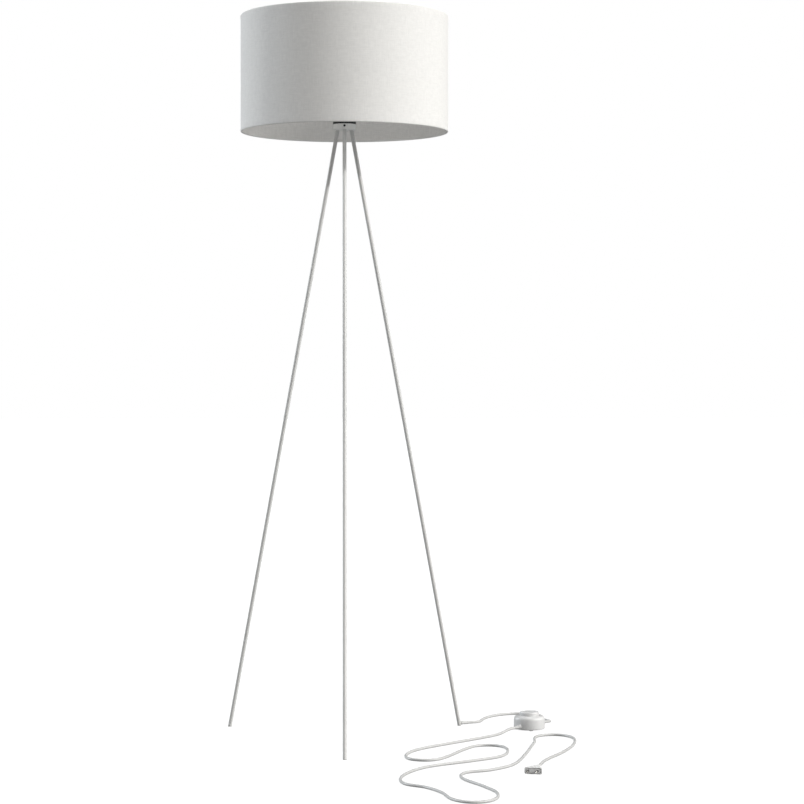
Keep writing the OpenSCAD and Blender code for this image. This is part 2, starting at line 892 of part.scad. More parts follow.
// A soft bush in the housing's wall, tapering down to the lead outside
module switch_bush(end) {
    color("whitesmoke")
    on_switch()
        rotate(end > 0 ? 0 : 180)
            difference() {
                union() {
                    bar([switch_r - switch_wall - 1.6, 0, bush_z],
                        [switch_r - switch_wall - 0.5, 0, bush_z], bush_flange_d);
                    bar([switch_r - switch_wall - 0.6, 0, bush_z],
                        [switch_r + 0.5, 0, bush_z], bush_d);
                    bar([switch_r + 0.4, 0, bush_z], [cord_reach, 0, bush_z], bush_d, bush_tip_d);
                }
                bar([0, 0, bush_z], [cord_reach + cut, 0, bush_z], cord_d + 2 * thread_gap);
                translate([switch_r - switch_wall - 3, -switch_r, 0])
                    cube([3, switch_d, base_top + slip_gap]);
            }
}

module switch_bush_lamp() { switch_bush(1); }

module switch_bush_mains() { switch_bush(-1); }

module cord_clamps() {
    color("white")
    on_switch()
        for (end = [-1, 1])
            difference() {
                translate([end * clamp_r - clamp_size.x / 2, -clamp_size.y / 2, clamp_z])
                    cube(clamp_size);
                for (side = [-1, 1])
                    translate([end * clamp_r, side * clamp_screw_y, clamp_z - cut])
                        cylinder(h = clamp_size.z + 2 * cut, d = clamp_screw_d + 2 * slip_gap);
            }
}

module clamp_screws() {
    color("silver")
    on_switch()
        for (end = [-1, 1], side = [-1, 1])
            translate([end * clamp_r, side * clamp_screw_y, 0]) {
                translate([0, 0, base_top + 1]) cylinder(h = clamp_z - base_top + 1.6, d = clamp_screw_d);
                translate([0, 0, clamp_z + clamp_size.z + face_gap])
                    cylinder(h = 1.4, d = clamp_screw_d * 1.8);
                translate([0, 0, clamp_z]) cylinder(h = clamp_size.z + 0.2, d = clamp_screw_d);
            }
}

module switch_screws() {
    color("silver")
    on_switch()
        at_bosses() {
            translate([0, 0, pad_t + 0.1]) cylinder(h = 1.3, d = screw_head_d);
            translate([0, 0, pad_t + 1]) cylinder(h = 11, d = screw_d);
        }
}

// Rubber pads over the screw heads: the switch stands on them
module switch_pads() {
    color("gray")
    on_switch()
        at_bosses() cylinder(h = pad_t - face_gap, d = pad_d);
}

// ---------- plug ----------

// One end slab of the plug's body, with rounded corners
module plug_slab(x, w, h, t) {
    for (y = [-1, 1], z = [-1, 1])
        translate([x, y * (w / 2 - plug_corner), z * (h / 2 - plug_corner)])
            rotate([0, 90, 0])
                cylinder(h = t, r = plug_corner, $fn = 24);
}

module carrier_block(grow) {
    translate([plug_face_x - carrier.x - grow, -carrier.y / 2 - grow, -carrier.z / 2 - grow])
        cube([carrier.x + grow + cut, carrier.y + 2 * grow, carrier.z + 2 * grow]);
}

module plug_body() {
    color("white")
    on_plug()
        difference() {
            hull() {
                plug_slab(relief_l + face_gap, plug_back_w, plug_back_h, 1);
                plug_slab(relief_l + plug_l / 2, plug_w - 5, plug_h, 1);
                plug_slab(plug_face_x - 3, plug_w, plug_h, 3);
            }
            carrier_block(slip_gap);
        }
}

// The hard block in the plug's face that holds both pins
module plug_carrier() {
    color("gainsboro")
    on_plug()
        difference() {
            intersection() {
                carrier_block(0);
                translate([0, -plug_w, -plug_h])
                    cube([plug_face_x, 2 * plug_w, 2 * plug_h]);
            }
            for (side = [-1, 1])
                translate([0, side * pin_spacing / 2, 0])
                    rotate([0, 90, 0])
                        cylinder(h = 2 * plug_face_x, d = pin_core_d + 2 * thread_gap);
        }
}

module plug_pins() {
    color("silver")
    on_plug()
        for (side = [-1, 1])
            translate([plug_face_x, side * pin_spacing / 2, 0])
                rotate([0, 90, 0])
                    union() {
                        translate([0, 0, -pin_root_l])
                            cylinder(h = pin_root_l + pin_l - pin_tip_l + cut, d = pin_core_d);
                        translate([0, 0, pin_l - pin_tip_l])
                            cylinder(h = pin_tip_l, d = pin_d);
                    }
}

// The insulating sleeves between the face and the bare tips
module pin_sleeves() {
    color([0.2, 0.2, 0.2])
    on_plug()
        for (side = [-1, 1])
            translate([plug_face_x + face_gap, side * pin_spacing / 2, 0])
                rotate([0, 90, 0])
                    difference() {
                        cylinder(h = pin_l - pin_tip_l - 2 * face_gap, d = sleeve_d);
                        translate([0, 0, -cut])
                            cylinder(h = pin_l, d = pin_core_d + 2 * thread_gap);
                    }
}

module plug_relief() {
    color("white")
    on_plug()
        bar([butt_gap, 0, 0], [relief_l, 0, 0], cord_d + 0.8, plug_back_h - 1);
}

leg_front();
leg_right();
leg_left();
glide_front();
glide_right();
glide_left();
leg_hub();
grub_screws();
threaded_nipple();
nipple_nut();
wiring_cup();
leg_lead();
lead_grommet();
cable_tie();
live_core();
neutral_core();
holder_base();
holder_insert();
terminal_blocks();
terminal_screws();
centre_contact();
screw_shell();
holder_skirt();
lower_shade_ring();
upper_shade_ring();
fitter_ring();
fitter_arms();
top_wire();
bottom_wire();
shade_liner();
shade_fabric();
top_binding();
bottom_binding();
bulb_globe();
bulb_neck();
bulb_cap();
bulb_contact();
cord_lamp();
cord_mains();
switch_base();
switch_housing();
switch_button();
switch_spring();
switch_mechanism();
switch_plunger();
switch_terminals();
switch_cores();
switch_leads();
switch_bush_lamp();
switch_bush_mains();
cord_clamps();
clamp_screws();
switch_screws();
switch_pads();
plug_body();
plug_relief();
plug_carrier();
plug_pins();
pin_sleeves();
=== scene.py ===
import math

import bmesh
import bpy
from mathutils import Matrix, Vector


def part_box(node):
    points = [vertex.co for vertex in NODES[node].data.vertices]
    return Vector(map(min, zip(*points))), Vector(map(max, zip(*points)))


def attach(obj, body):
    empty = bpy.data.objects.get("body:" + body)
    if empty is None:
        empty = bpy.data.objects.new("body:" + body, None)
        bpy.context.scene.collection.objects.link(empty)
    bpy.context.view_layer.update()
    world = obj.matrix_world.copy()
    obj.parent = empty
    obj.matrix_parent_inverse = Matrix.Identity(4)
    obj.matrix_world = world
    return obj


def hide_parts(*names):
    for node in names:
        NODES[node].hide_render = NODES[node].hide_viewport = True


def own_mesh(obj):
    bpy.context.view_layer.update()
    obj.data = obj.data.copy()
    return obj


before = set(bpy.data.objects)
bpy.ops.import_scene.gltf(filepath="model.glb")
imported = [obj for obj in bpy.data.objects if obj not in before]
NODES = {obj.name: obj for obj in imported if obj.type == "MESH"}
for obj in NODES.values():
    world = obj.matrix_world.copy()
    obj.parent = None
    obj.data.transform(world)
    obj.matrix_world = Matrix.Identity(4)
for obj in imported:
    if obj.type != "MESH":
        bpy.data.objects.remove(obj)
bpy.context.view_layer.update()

# Tripod floor lamp: the looks of every piece, in metres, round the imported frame.
# The floor is at z 0, the lamp's axis at the origin, and the front leg towards -Y.

MM = 0.001

# Leads: the same routes as the CAD tubes, in metres
LEAD_D = 0.006
LAMP_ROUTE = [
    (0.277, 0.160, 0.0052), (0.290, 0.1675, 0.0046), (0.300, 0.177, 0.004),
    (0.307, 0.191, 0.0034), (0.313, 0.215, 0.003), (0.323, 0.243, 0.003), (0.338, 0.267, 0.003),
    (0.358, 0.287, 0.003), (0.382, 0.300, 0.003), (0.406, 0.303, 0.003), (0.426, 0.293, 0.003),
    (0.437, 0.271, 0.003), (0.442, 0.245, 0.003), (0.452, 0.217, 0.003), (0.460, 0.193, 0.0034),
    (0.4625, 0.172, 0.0056), (0.4585, 0.1535, 0.008), (0.446, 0.136, 0.009),
]
MAINS_ROUTE = [
    (0.374, 0.054, 0.009), (0.363, 0.0415, 0.0085), (0.340, 0.008, 0.004),
    (0.310, -0.028, 0.003), (0.178, -0.162, 0.003), (0.142, -0.212, 0.003),
    (0.126, -0.268, 0.003), (0.135, -0.311, 0.003), (0.169, -0.325, 0.003),
    (0.199, -0.303, 0.003), (0.271, -0.157, 0.003), (0.306, -0.141, 0.003),
    (0.336, -0.166, 0.003), (0.338, -0.235, 0.003), (0.318, -0.285, 0.003),
    (0.262, -0.332, 0.003), (0.170, -0.398, 0.003), (0.130, -0.458, 0.003),
    (0.109, -0.530, 0.003), (0.116, -0.590, 0.003), (0.155, -0.628, 0.003),
    (0.182, -0.680, 0.003), (0.202, -0.755, 0.003), (0.238, -0.782, 0.003),
    (0.276, -0.758, 0.003), (0.287, -0.690, 0.003), (0.266, -0.620, 0.003),
    (0.229, -0.530, 0.003), (0.238, -0.472, 0.003), (0.290, -0.441, 0.003),
    (0.337, -0.385, 0.003), (0.364, -0.300, 0.003), (0.405, -0.104, 0.003),
    (0.418, -0.025, 0.003), (0.461, -0.006, 0.003), (0.492, -0.043, 0.003),
    (0.487, -0.130, 0.003), (0.455, -0.230, 0.003), (0.412, -0.330, 0.0045),
    (0.388, -0.418, 0.00685),
]

# Foot switch and plug: where they lie and their sizes, as in the CAD
SWITCH_AT = Vector((0.410, 0.095, 0))
BUSH_Z = LAMP_ROUTE[-1][2]
SWITCH_R = 34.5 * MM
SHOULDER_Z = 31 * MM
BUTTON_R = 21.5 * MM
BUTTON_TOP = 39 * MM
PLUG_FACE = 60 * MM      # from the plug's lead end to the face with the pins
RELIEF_L = 24 * MM
PIN_SPACING = 18.6 * MM

# Camera: a long lens at chest height, five metres in front of the lamp
CAMERA_AT = (0, -5.038, 0.808)
CAMERA_DOWN = 0.906      # degrees below level
CAMERA_RIGHT = 1.418     # degrees to the right of the lamp
FOCAL_LENGTH = 103.83    # millimetres, over the sensor's width
SENSOR_WIDTH = 36


# ---------- camera ----------

def place_camera():
    """The camera that the main view is seen from."""
    lens = bpy.data.cameras.new("camera")
    lens.sensor_width = SENSOR_WIDTH
    lens.lens = FOCAL_LENGTH
    lens.clip_end = 100
    camera = bpy.data.objects.new("camera", lens)
    camera.location = CAMERA_AT
    camera.rotation_euler = (math.radians(90 - CAMERA_DOWN), 0, math.radians(-CAMERA_RIGHT))
    bpy.context.scene.collection.objects.link(camera)
    bpy.context.scene.camera = camera


# ---------- node trees ----------

def join(tree, socket, value):
    """Gives a socket its value: another node, another socket, or a number."""
    if isinstance(value, bpy.types.Node):
        value = value.outputs[0]
    if isinstance(value, bpy.types.NodeSocket):
        tree.links.new(value, socket)
    else:
        socket.default_value = value


def add(tree, kind, inputs=None, **settings):
    """Adds a node to a tree, with its settings and inputs."""
    node = tree.nodes.new(kind)
    for name, value in settings.items():
        setattr(node, name, value)
    for name, value in (inputs or {}).items():
        join(tree, node.inputs[name], value)
    return node


def calc(tree, operation, *values):
    """One step of arithmetic."""
    node = tree.nodes.new("ShaderNodeMath")
    node.operation = operation
    for socket, value in zip(node.inputs, values):
        join(tree, socket, value)
    return node


# ---------- finishes ----------

def noise(tree, place, size, detail=2.0, stretch=(1, 1, 1)):
    """Noise whose patches are about size across, drawn out by stretch."""
    scale = tuple(1 / (size * s) for s in stretch)
    mapped = add(tree, "ShaderNodeMapping", {"Vector": place, "Scale": scale})
    return add(tree, "ShaderNodeTexNoise",
               {"Vector": mapped, "Scale": 1.0, "Detail": detail, "Roughness": 0.55})


def ramp(tree, factor, low, high, start=0.3, end=0.7):
    """A blend from the colour low to the colour high."""
    node = add(tree, "ShaderNodeValToRGB", {"Fac": factor})
    first, last = node.color_ramp.elements
    first.position = start
    last.position = end
    first.color = (*low, 1)
    last.color = (*high, 1)
    return node


def spread(tree, factor, low, high):
    """The middle half of a noise, spread from low to high."""
    return add(tree, "ShaderNodeMapRange",
               {"Value": factor, "From Min": 0.3, "From Max": 0.7, "To Min": low, "To Max": high})


def start_material(name):
    """An empty finish: the material, its tree and its shader."""
    material = bpy.data.materials.new(name)
    material.use_nodes = True
    tree = material.node_tree
    return material, tree, tree.nodes["Principled BSDF"]


def shade(colour, factor):
    """A colour made darker or lighter."""
    return tuple(min(1.0, c * factor) for c in colour)


def finish(name, colour, rough, grain, depth, patch, tint, stretch=(1, 1, 1),
           metal=0.0, coat=0.0, glow=0.0, ior=1.46):
    """A finish with a grain of a real size, a bump of a real depth, and faint patches.
    patch is how wide the patches are, and tint how far they differ from the colour."""
    material, tree, shader = start_material(name)
    place = add(tree, "ShaderNodeTexCoord").outputs["Object"]
    patches = noise(tree, place, patch, 3.0)
    fine = noise(tree, place, grain, 3.0, stretch)
    colours = ramp(tree, patches, shade(colour, 1 - tint), shade(colour, 1 + tint))
    join(tree, shader.inputs["Base Color"], colours.outputs["Color"])
    mixed = calc(tree, "MULTIPLY", calc(tree, "ADD", patches, fine), 0.5)
    roughness = spread(tree, mixed, rough * 0.88, min(1.0, rough * 1.12))
    join(tree, shader.inputs["Roughness"], roughness)
    bump = add(tree, "ShaderNodeBump", {"Height": fine, "Distance": depth, "Strength": 1.0})
    join(tree, shader.inputs["Normal"], bump)
    shader.inputs["Metallic"].default_value = metal
    shader.inputs["Coat Weight"].default_value = coat
    shader.inputs["Coat Roughness"].default_value = 0.25
    shader.inputs["IOR"].default_value = ior
    if glow:
        shader.inputs["Subsurface Weight"].default_value = glow
        shader.inputs["Subsurface Radius"].default_value = (2 * MM, 2 * MM, 2 * MM)
        shader.inputs["Subsurface Scale"].default_value = 1.0
    return material


def weave(name, colour, pitch, depth, mottle_and_gap_shade, rough):
    """Plain-woven cloth on the piece's own UV map, which is laid out in metres. Its colour has
    random tone and painted shade in the gaps between the threads.
    """
    material, tree, shader = start_material(name)
    uv = add(tree, "ShaderNodeUVMap", uv_map="UVMap")
    split = add(tree, "ShaderNodeSeparateXYZ", {"Vector": uv})
    across, up = split.outputs["X"], split.outputs["Y"]
    wander = calc(tree, "MULTIPLY", noise(tree, uv, 6 * MM, 2.0), 0.9 * pitch)
    warp_turn = calc(tree, "MULTIPLY", calc(tree, "ADD", across, wander), math.pi / pitch)
    weft_turn = calc(tree, "MULTIPLY", calc(tree, "ADD", up, wander), math.pi / pitch)
    warp = calc(tree, "ABSOLUTE", calc(tree, "SINE", warp_turn))
    weft = calc(tree, "ABSOLUTE", calc(tree, "SINE", weft_turn))
    over = calc(tree, "MULTIPLY", calc(tree, "COSINE", warp_turn), calc(tree, "COSINE", weft_turn))
    over = calc(tree, "MULTIPLY_ADD", over, 0.35, 0.5)
    warp_high = calc(tree, "MULTIPLY", warp, over)
    weft_high = calc(tree, "MULTIPLY", weft, calc(tree, "SUBTRACT", 1.0, over))
    threads = calc(tree, "MAXIMUM", warp_high, weft_high)
    warp_slub = noise(tree, uv, 1.2 * MM, 2.0, (1, 22, 1))
    weft_slub = noise(tree, uv, 1.2 * MM, 2.0, (22, 1, 1))
    slubs = calc(tree, "ADD", warp_slub, weft_slub)
    height = calc(tree, "ADD", threads, calc(tree, "MULTIPLY", slubs, 0.8))
    bump = add(tree, "ShaderNodeBump", {"Height": height, "Distance": depth, "Strength": 0.9})
    join(tree, shader.inputs["Normal"], bump)
    cloudy = noise(tree, uv, 9 * MM, 4.0)
    tone = calc(tree, "MULTIPLY_ADD", slubs, 0.35, calc(tree, "MULTIPLY", cloudy, 0.3))
    # Painted shade: the threads' crowns are lighter and the gaps between them darker, from the
    # same height as the bump. The slubs and the cloud above give random tone.
    tone = calc(tree, "ADD", tone, calc(tree, "MULTIPLY", threads, 0.25))
    colours = ramp(tree, tone, shade(colour, 1 - mottle_and_gap_shade), shade(colour, 1 + mottle_and_gap_shade), 0.45, 0.85)
    join(tree, shader.inputs["Base Color"], colours.outputs["Color"])
    roughness = spread(tree, cloudy, rough - 0.06, min(1.0, rough + 0.06))
    join(tree, shader.inputs["Roughness"], roughness)
    shader.inputs["Sheen Weight"].default_value = 0.12
    shader.inputs["Sheen Roughness"].default_value = 0.6
    shader.inputs["IOR"].default_value = 1.35
    return material


def make_finishes():
    """Every finish of the lamp, by name."""
    white = (0.62, 0.62, 0.61)
    return {
        "stand_paint": finish("stand_paint", white, 0.46, 0.9 * MM, 0.010 * MM, 0.05, 0.02),
        "hub_paint": finish("hub_paint", (0.80, 0.80, 0.79), 0.46, 0.9 * MM, 0.012 * MM,
                            0.02, 0.025),
        "wire_paint": finish("wire_paint", white, 0.42, 0.7 * MM, 0.008 * MM, 0.03, 0.03),
        "glide": finish("glide", (0.42, 0.42, 0.41), 0.55, 0.5 * MM, 0.02 * MM, 0.004, 0.08),
        "black_steel": finish("black_steel", (0.03, 0.03, 0.032), 0.4, 0.3 * MM, 0.01 * MM,
                              0.003, 0.25, metal=0.6),
        "zinc_steel": finish("zinc_steel", (0.55, 0.56, 0.58), 0.34, 0.25 * MM, 0.008 * MM,
                             0.004, 0.12, (1, 1, 6), metal=1.0),
        "black_plastic": finish("black_plastic", (0.022, 0.022, 0.023), 0.48, 0.35 * MM,
                                0.02 * MM, 0.02, 0.12),
        "lead_sheath": finish("lead_sheath", (0.54, 0.54, 0.535), 0.42, 1.4 * MM, 0.03 * MM,
                              0.03, 0.025),
        "lead_bush": finish("lead_bush", (0.56, 0.56, 0.555), 0.5, 0.5 * MM, 0.015 * MM,
                            0.01, 0.03),
        "white_nylon": finish("white_nylon", (0.74, 0.74, 0.70), 0.5, 0.6 * MM, 0.02 * MM,
                              0.01, 0.05),
        "live_insulation": finish("live_insulation", (0.16, 0.055, 0.018), 0.45, 0.6 * MM,
                                  0.01 * MM, 0.01, 0.1),
        "neutral_insulation": finish("neutral_insulation", (0.02, 0.09, 0.36), 0.45, 0.6 * MM,
                                     0.01 * MM, 0.01, 0.1),
        "steatite": finish("steatite", (0.70, 0.67, 0.58), 0.6, 0.4 * MM, 0.03 * MM, 0.006, 0.06),
        "brass": finish("brass", (0.62, 0.42, 0.15), 0.3, 0.3 * MM, 0.01 * MM, 0.005, 0.12,
                        (1, 1, 5), metal=1.0),
        "nickel": finish("nickel", (0.62, 0.60, 0.56), 0.24, 0.3 * MM, 0.006 * MM, 0.005, 0.08,
                         (1, 1, 5), metal=1.0),
        "shade_cloth": weave("shade_cloth", (0.80, 0.795, 0.78), 0.8 * MM, 0.16 * MM,
                             0.09, 0.86),
        "shade_lining": weave("shade_lining", (0.86, 0.85, 0.83), 0.9 * MM, 0.10 * MM,
                              0.12, 0.7),
        "opal_globe": finish("opal_globe", (0.86, 0.86, 0.84), 0.28, 2.5 * MM, 0.01 * MM,
                             0.02, 0.015, coat=0.4, glow=0.3),
        "white_plastic": finish("white_plastic", (0.80, 0.80, 0.78), 0.36, 0.5 * MM, 0.01 * MM,
                                0.02, 0.02),
        "switch_plastic": finish("switch_plastic", (0.66, 0.66, 0.66), 0.34, 0.45 * MM,
                                 0.012 * MM, 0.02, 0.02, coat=0.1),
        "black_glass": finish("black_glass", (0.02, 0.018, 0.022), 0.12, 1.0 * MM, 0.01 * MM,
                              0.004, 0.2, ior=1.52),
        "pad_rubber": finish("pad_rubber", (0.48, 0.48, 0.47), 0.8, 0.3 * MM, 0.04 * MM,
                             0.004, 0.12),
        "plug_plastic": finish("plug_plastic", (0.76, 0.76, 0.755), 0.44, 0.4 * MM, 0.015 * MM,
                               0.01, 0.025),
        "carrier_plastic": finish("carrier_plastic", (0.74, 0.74, 0.735), 0.5, 0.4 * MM,
                                  0.015 * MM, 0.008, 0.04),
        "sleeve_plastic": finish("sleeve_plastic", (0.05, 0.05, 0.052), 0.45, 0.4 * MM,
                                 0.01 * MM, 0.005, 0.1),
    }


# The finish of each CAD node that stays in sight or sits inside another piece
NODE_FINISHES = {
    "stand_paint": ["leg_front", "leg_right", "leg_left"],
    "hub_paint": ["leg_hub"],
    "wire_paint": ["fitter_ring", "fitter_arms", "top_wire", "bottom_wire"],
    "glide": ["glide_front", "glide_right", "glide_left"],
    "black_steel": ["grub_screws"],
    "zinc_steel": ["nipple_nut", "terminal_screws", "switch_spring", "clamp_screws",
                   "switch_screws"],
    "black_plastic": ["wiring_cup", "holder_base", "lower_shade_ring", "upper_shade_ring",
                      "switch_mechanism", "switch_plunger", "holder_skirt"],
    "lead_sheath": ["leg_lead", "switch_leads", "cord_lamp", "cord_mains"],
    "lead_bush": ["lead_grommet", "switch_bush_lamp", "switch_bush_mains"],
    "white_nylon": ["cable_tie", "cord_clamps"],
    "live_insulation": ["live_core", "switch_cores"],
    "neutral_insulation": ["neutral_core"],
    "steatite": ["holder_insert"],
    "brass": ["threaded_nipple", "terminal_blocks", "centre_contact", "screw_shell",
              "switch_terminals"],
    "nickel": ["bulb_cap", "plug_pins"],
    "shade_cloth": ["shade_fabric", "top_binding", "bottom_binding"],
    "shade_lining": ["shade_liner"],
    "opal_globe": ["bulb_globe"],
    "white_plastic": ["bulb_neck"],
    "switch_plastic": ["switch_base", "switch_housing", "switch_button"],
    "black_glass": ["bulb_contact"],
    "pad_rubber": ["switch_pads"],
    "plug_plastic": ["plug_body", "plug_relief"],
    "carrier_plastic": ["plug_carrier"],
    "sleeve_plastic": ["pin_sleeves"],
}


def dress_nodes(finishes):
    """Gives every CAD node its finish."""
    for name, nodes in NODE_FINISHES.items():
        for node in nodes:
            mesh = NODES[node].data
            mesh.materials.clear()
            mesh.materials.append(finishes[name])


# ---------- meshes ----------

def fillet(corners, steps=5):
    """An outline through (x, y, radius) corners, each rounded to its radius."""
    outline = []
    count = len(corners)
    for i, (x, y, radius) in enumerate(corners):
        here = Vector((x, y))
        if not radius:
            outline.append(here)
            continue
        back = (Vector(corners[i - 1][:2]) - here).normalized()
        ahead = (Vector(corners[(i + 1) % count][:2]) - here).normalized()
        half = back.angle(ahead) / 2
        centre = here + (back + ahead).normalized() * radius / math.sin(half)
        first = here + back * radius / math.tan(half) - centre
        last = here + ahead * radius / math.tan(half) - centre
        turn = first.angle_signed(last)
        for k in range(steps + 1):
            outline.append(centre + Matrix.Rotation(-turn * k / steps, 2) @ first)
    return outline


def to_object(name, bm, matrix, smooth_deg=35):
    """Turns a bmesh into an object at the origin, with its place in its mesh."""
    bmesh.ops.remove_doubles(bm, verts=bm.verts, dist=1e-6)
    bmesh.ops.recalc_face_normals(bm, faces=bm.faces)
    mesh = bpy.data.meshes.new(name)
    bm.to_mesh(mesh)
    bm.free()
    mesh.transform(matrix)
    mesh.shade_smooth()
    mesh.set_sharp_from_angle(angle=math.radians(smooth_deg))
    piece = bpy.data.objects.new(name, mesh)
    bpy.context.scene.collection.objects.link(piece)
    return piece


def turned(name, outline, matrix=Matrix(), steps=96, closed=True):
    """A turned piece: an outline of (radius, height) points spun about Z.
    A closed outline makes a ring. An open one starts and ends on the axis."""
    bm = bmesh.new()
    rings = []
    for k in range(steps):
        a = 2 * math.pi * k / steps
        rings.append([bm.verts.new((p[0] * math.cos(a), p[0] * math.sin(a), p[1]))
                      for p in outline])
    last = len(outline) if closed else len(outline) - 1
    for k in range(steps):
        here, after = rings[k], rings[(k + 1) % steps]
        for i in range(last):
            j = (i + 1) % len(outline)
            bm.faces.new((here[i], after[i], after[j], here[j]))
    bmesh.ops.dissolve_degenerate(bm, edges=bm.edges, dist=1e-7)
    return to_object(name, bm, matrix)


def lofted(name, sections, matrix):
    """A closed skin over a row of sections, each a ring of the same number of points."""
    bm = bmesh.new()
    rings = [[bm.verts.new(p) for p in section] for section in sections]
    for low, high in zip(rings, rings[1:]):
        for i in range(len(low)):
            j = (i + 1) % len(low)
            bm.faces.new((low[i], low[j], high[j], high[i]))
    bm.faces.new(rings[0])
    bm.faces.new(rings[-1])
    return to_object(name, bm, matrix)


def dress(piece, material, slot, body, *replaced):
    """Gives a new piece its finish and its body, and hides the nodes that it stands for. slot is
    not used.
    """
    piece.data.materials.clear()
    piece.data.materials.append(material)
    if replaced:
        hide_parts(*replaced)
    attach(piece, body)
    return piece


# ---------- Geometry Nodes ----------

SOCKETS = {int: "NodeSocketInt", float: "NodeSocketFloat", bpy.types.Object: "NodeSocketObject",
           bpy.types.Material: "NodeSocketMaterial"}


def new_tree(name, **sizes):
    """A Geometry Nodes tree with named inputs, and the node that holds them."""
    tree = bpy.data.node_groups.new(name, "GeometryNodeTree")
    tree.interface.new_socket("Geometry", in_out="OUTPUT", socket_type="NodeSocketGeometry")
    for label, kind in sizes.items():
        label = label.replace("_", " ").capitalize()
        tree.interface.new_socket(label, in_out="INPUT", socket_type=SOCKETS[kind])
    return tree, tree.nodes.new("NodeGroupInput").outputs


def close_tree(tree, geometry, material):
    """Ends a tree: real meshes instead of instances, smooth, with their finish."""
    real = add(tree, "GeometryNodeRealizeInstances", {"Geometry": geometry})
    painted = add(tree, "GeometryNodeSetMaterial", {"Geometry": real, "Material": material})
    end = tree.nodes.new("NodeGroupOutput")
    tree.links.new(painted.outputs[0], end.inputs[0])


def grow(name, tree, matrix, smooth_deg=35, **values):
    """Runs a tree with its inputs set, and keeps the result as a plain mesh."""
    seed = bpy.data.objects.new(name + "_seed", bpy.data.meshes.new(name + "_seed"))
    bpy.context.scene.collection.objects.link(seed)
    modifier = seed.modifiers.new("grow", "NODES")
    modifier.node_group = tree
    for item in tree.interface.items_tree:
        key = item.name.lower().replace(" ", "_")
        if item.in_out == "INPUT":
            modifier[item.identifier] = values[key]
    graph = bpy.context.evaluated_depsgraph_get()
    mesh = bpy.data.meshes.new_from_object(seed.evaluated_get(graph), depsgraph=graph)
    bpy.data.objects.remove(seed)
    mesh.transform(matrix)
    mesh.name = name
    mesh.shade_smooth()
    mesh.set_sharp_from_angle(angle=math.radians(smooth_deg))
    piece = bpy.data.objects.new(name, mesh)
    bpy.context.scene.collection.objects.link(piece)
    return piece


def wrap_tree():
    """A strip bent round the lamp's axis: an outline swept once round, and past its own
    start by the lap, where it lies on top of itself. It gets a UV map in metres."""
    tree, sizes = new_tree("wrapped_strip", outline=bpy.types.Object, radius=float, lap=float,
                           lift=float, slack=float, steps=int, material=bpy.types.Material)
    line = add(tree, "GeometryNodeCurvePrimitiveLine")
    points = add(tree, "GeometryNodeResampleCurve", {"Curve": line, "Count": sizes["Steps"]})
    share = add(tree, "GeometryNodeSplineParameter").outputs["Factor"]
    lap_angle = calc(tree, "DIVIDE", sizes["Lap"], sizes["Radius"])
    angle = calc(tree, "MULTIPLY", share, calc(tree, "ADD", lap_angle, 2 * math.pi))
    past = calc(tree, "SUBTRACT", angle, calc(tree, "SUBTRACT", 2 * math.pi, lap_angle))
    risen = calc(tree, "MAXIMUM", calc(tree, "DIVIDE", past, lap_angle), 0.0)
    risen = calc(tree, "MINIMUM", risen, 1.0)
    radius = calc(tree, "ADD", sizes["Radius"], calc(tree, "MULTIPLY", risen, sizes["Lift"]))
    place = add(tree, "ShaderNodeCombineXYZ",
                {"X": calc(tree, "MULTIPLY", calc(tree, "COSINE", angle), radius),
                 "Y": calc(tree, "MULTIPLY", calc(tree, "SINE", angle), radius)})
    bent = add(tree, "GeometryNodeSetPosition", {"Geometry": points, "Position": place})
    upright = add(tree, "GeometryNodeSetCurveNormal", {"Curve": bent}, mode="Z_UP")
    along = add(tree, "GeometryNodeCaptureAttribute", {"Geometry": upright})
    along.capture_items.new("FLOAT", "Along")
    join(tree, along.inputs["Along"], calc(tree, "MULTIPLY", angle, sizes["Radius"]))
    outline = add(tree, "GeometryNodeObjectInfo", {"Object": sizes["Outline"]})
    upside = add(tree, "GeometryNodeTransform",
                 {"Geometry": outline.outputs["Geometry"], "Scale": (1, -1, 1)})
    length = add(tree, "GeometryNodeSplineParameter").outputs["Length"]
    up = add(tree, "GeometryNodeCaptureAttribute", {"Geometry": upside})
    up.capture_items.new("FLOAT", "Up")
    join(tree, up.inputs["Up"], length)
    skin = add(tree, "GeometryNodeCurveToMesh",
               {"Curve": along.outputs["Geometry"], "Profile Curve": up.outputs["Geometry"],
                "Fill Caps": True})
    uv = add(tree, "ShaderNodeCombineXYZ",
             {"X": along.outputs["Along"], "Y": up.outputs["Up"]})
    mapped = add(tree, "GeometryNodeStoreNamedAttribute",
                 {"Geometry": skin, "Name": "UVMap", "Value": uv},
                 data_type="FLOAT2", domain="CORNER")
    where = add(tree, "GeometryNodeInputPosition")
    ripple = add(tree, "ShaderNodeTexNoise", {"Vector": where, "Scale": 9.0, "Detail": 1.0})
    ripple = calc(tree, "MULTIPLY", calc(tree, "SUBTRACT", ripple, 0.5), sizes["Slack"])
    flat = add(tree, "ShaderNodeVectorMath", {0: where, 1: (1, 1, 0)}, operation="MULTIPLY")
    outward = add(tree, "ShaderNodeVectorMath", {0: flat}, operation="NORMALIZE")
    push = add(tree, "ShaderNodeVectorMath", {0: outward, "Scale": ripple}, operation="SCALE")
    slack = add(tree, "GeometryNodeSetPosition", {"Geometry": mapped, "Offset": push.outputs[0]})
    close_tree(tree, slack, sizes["Material"])
    return tree


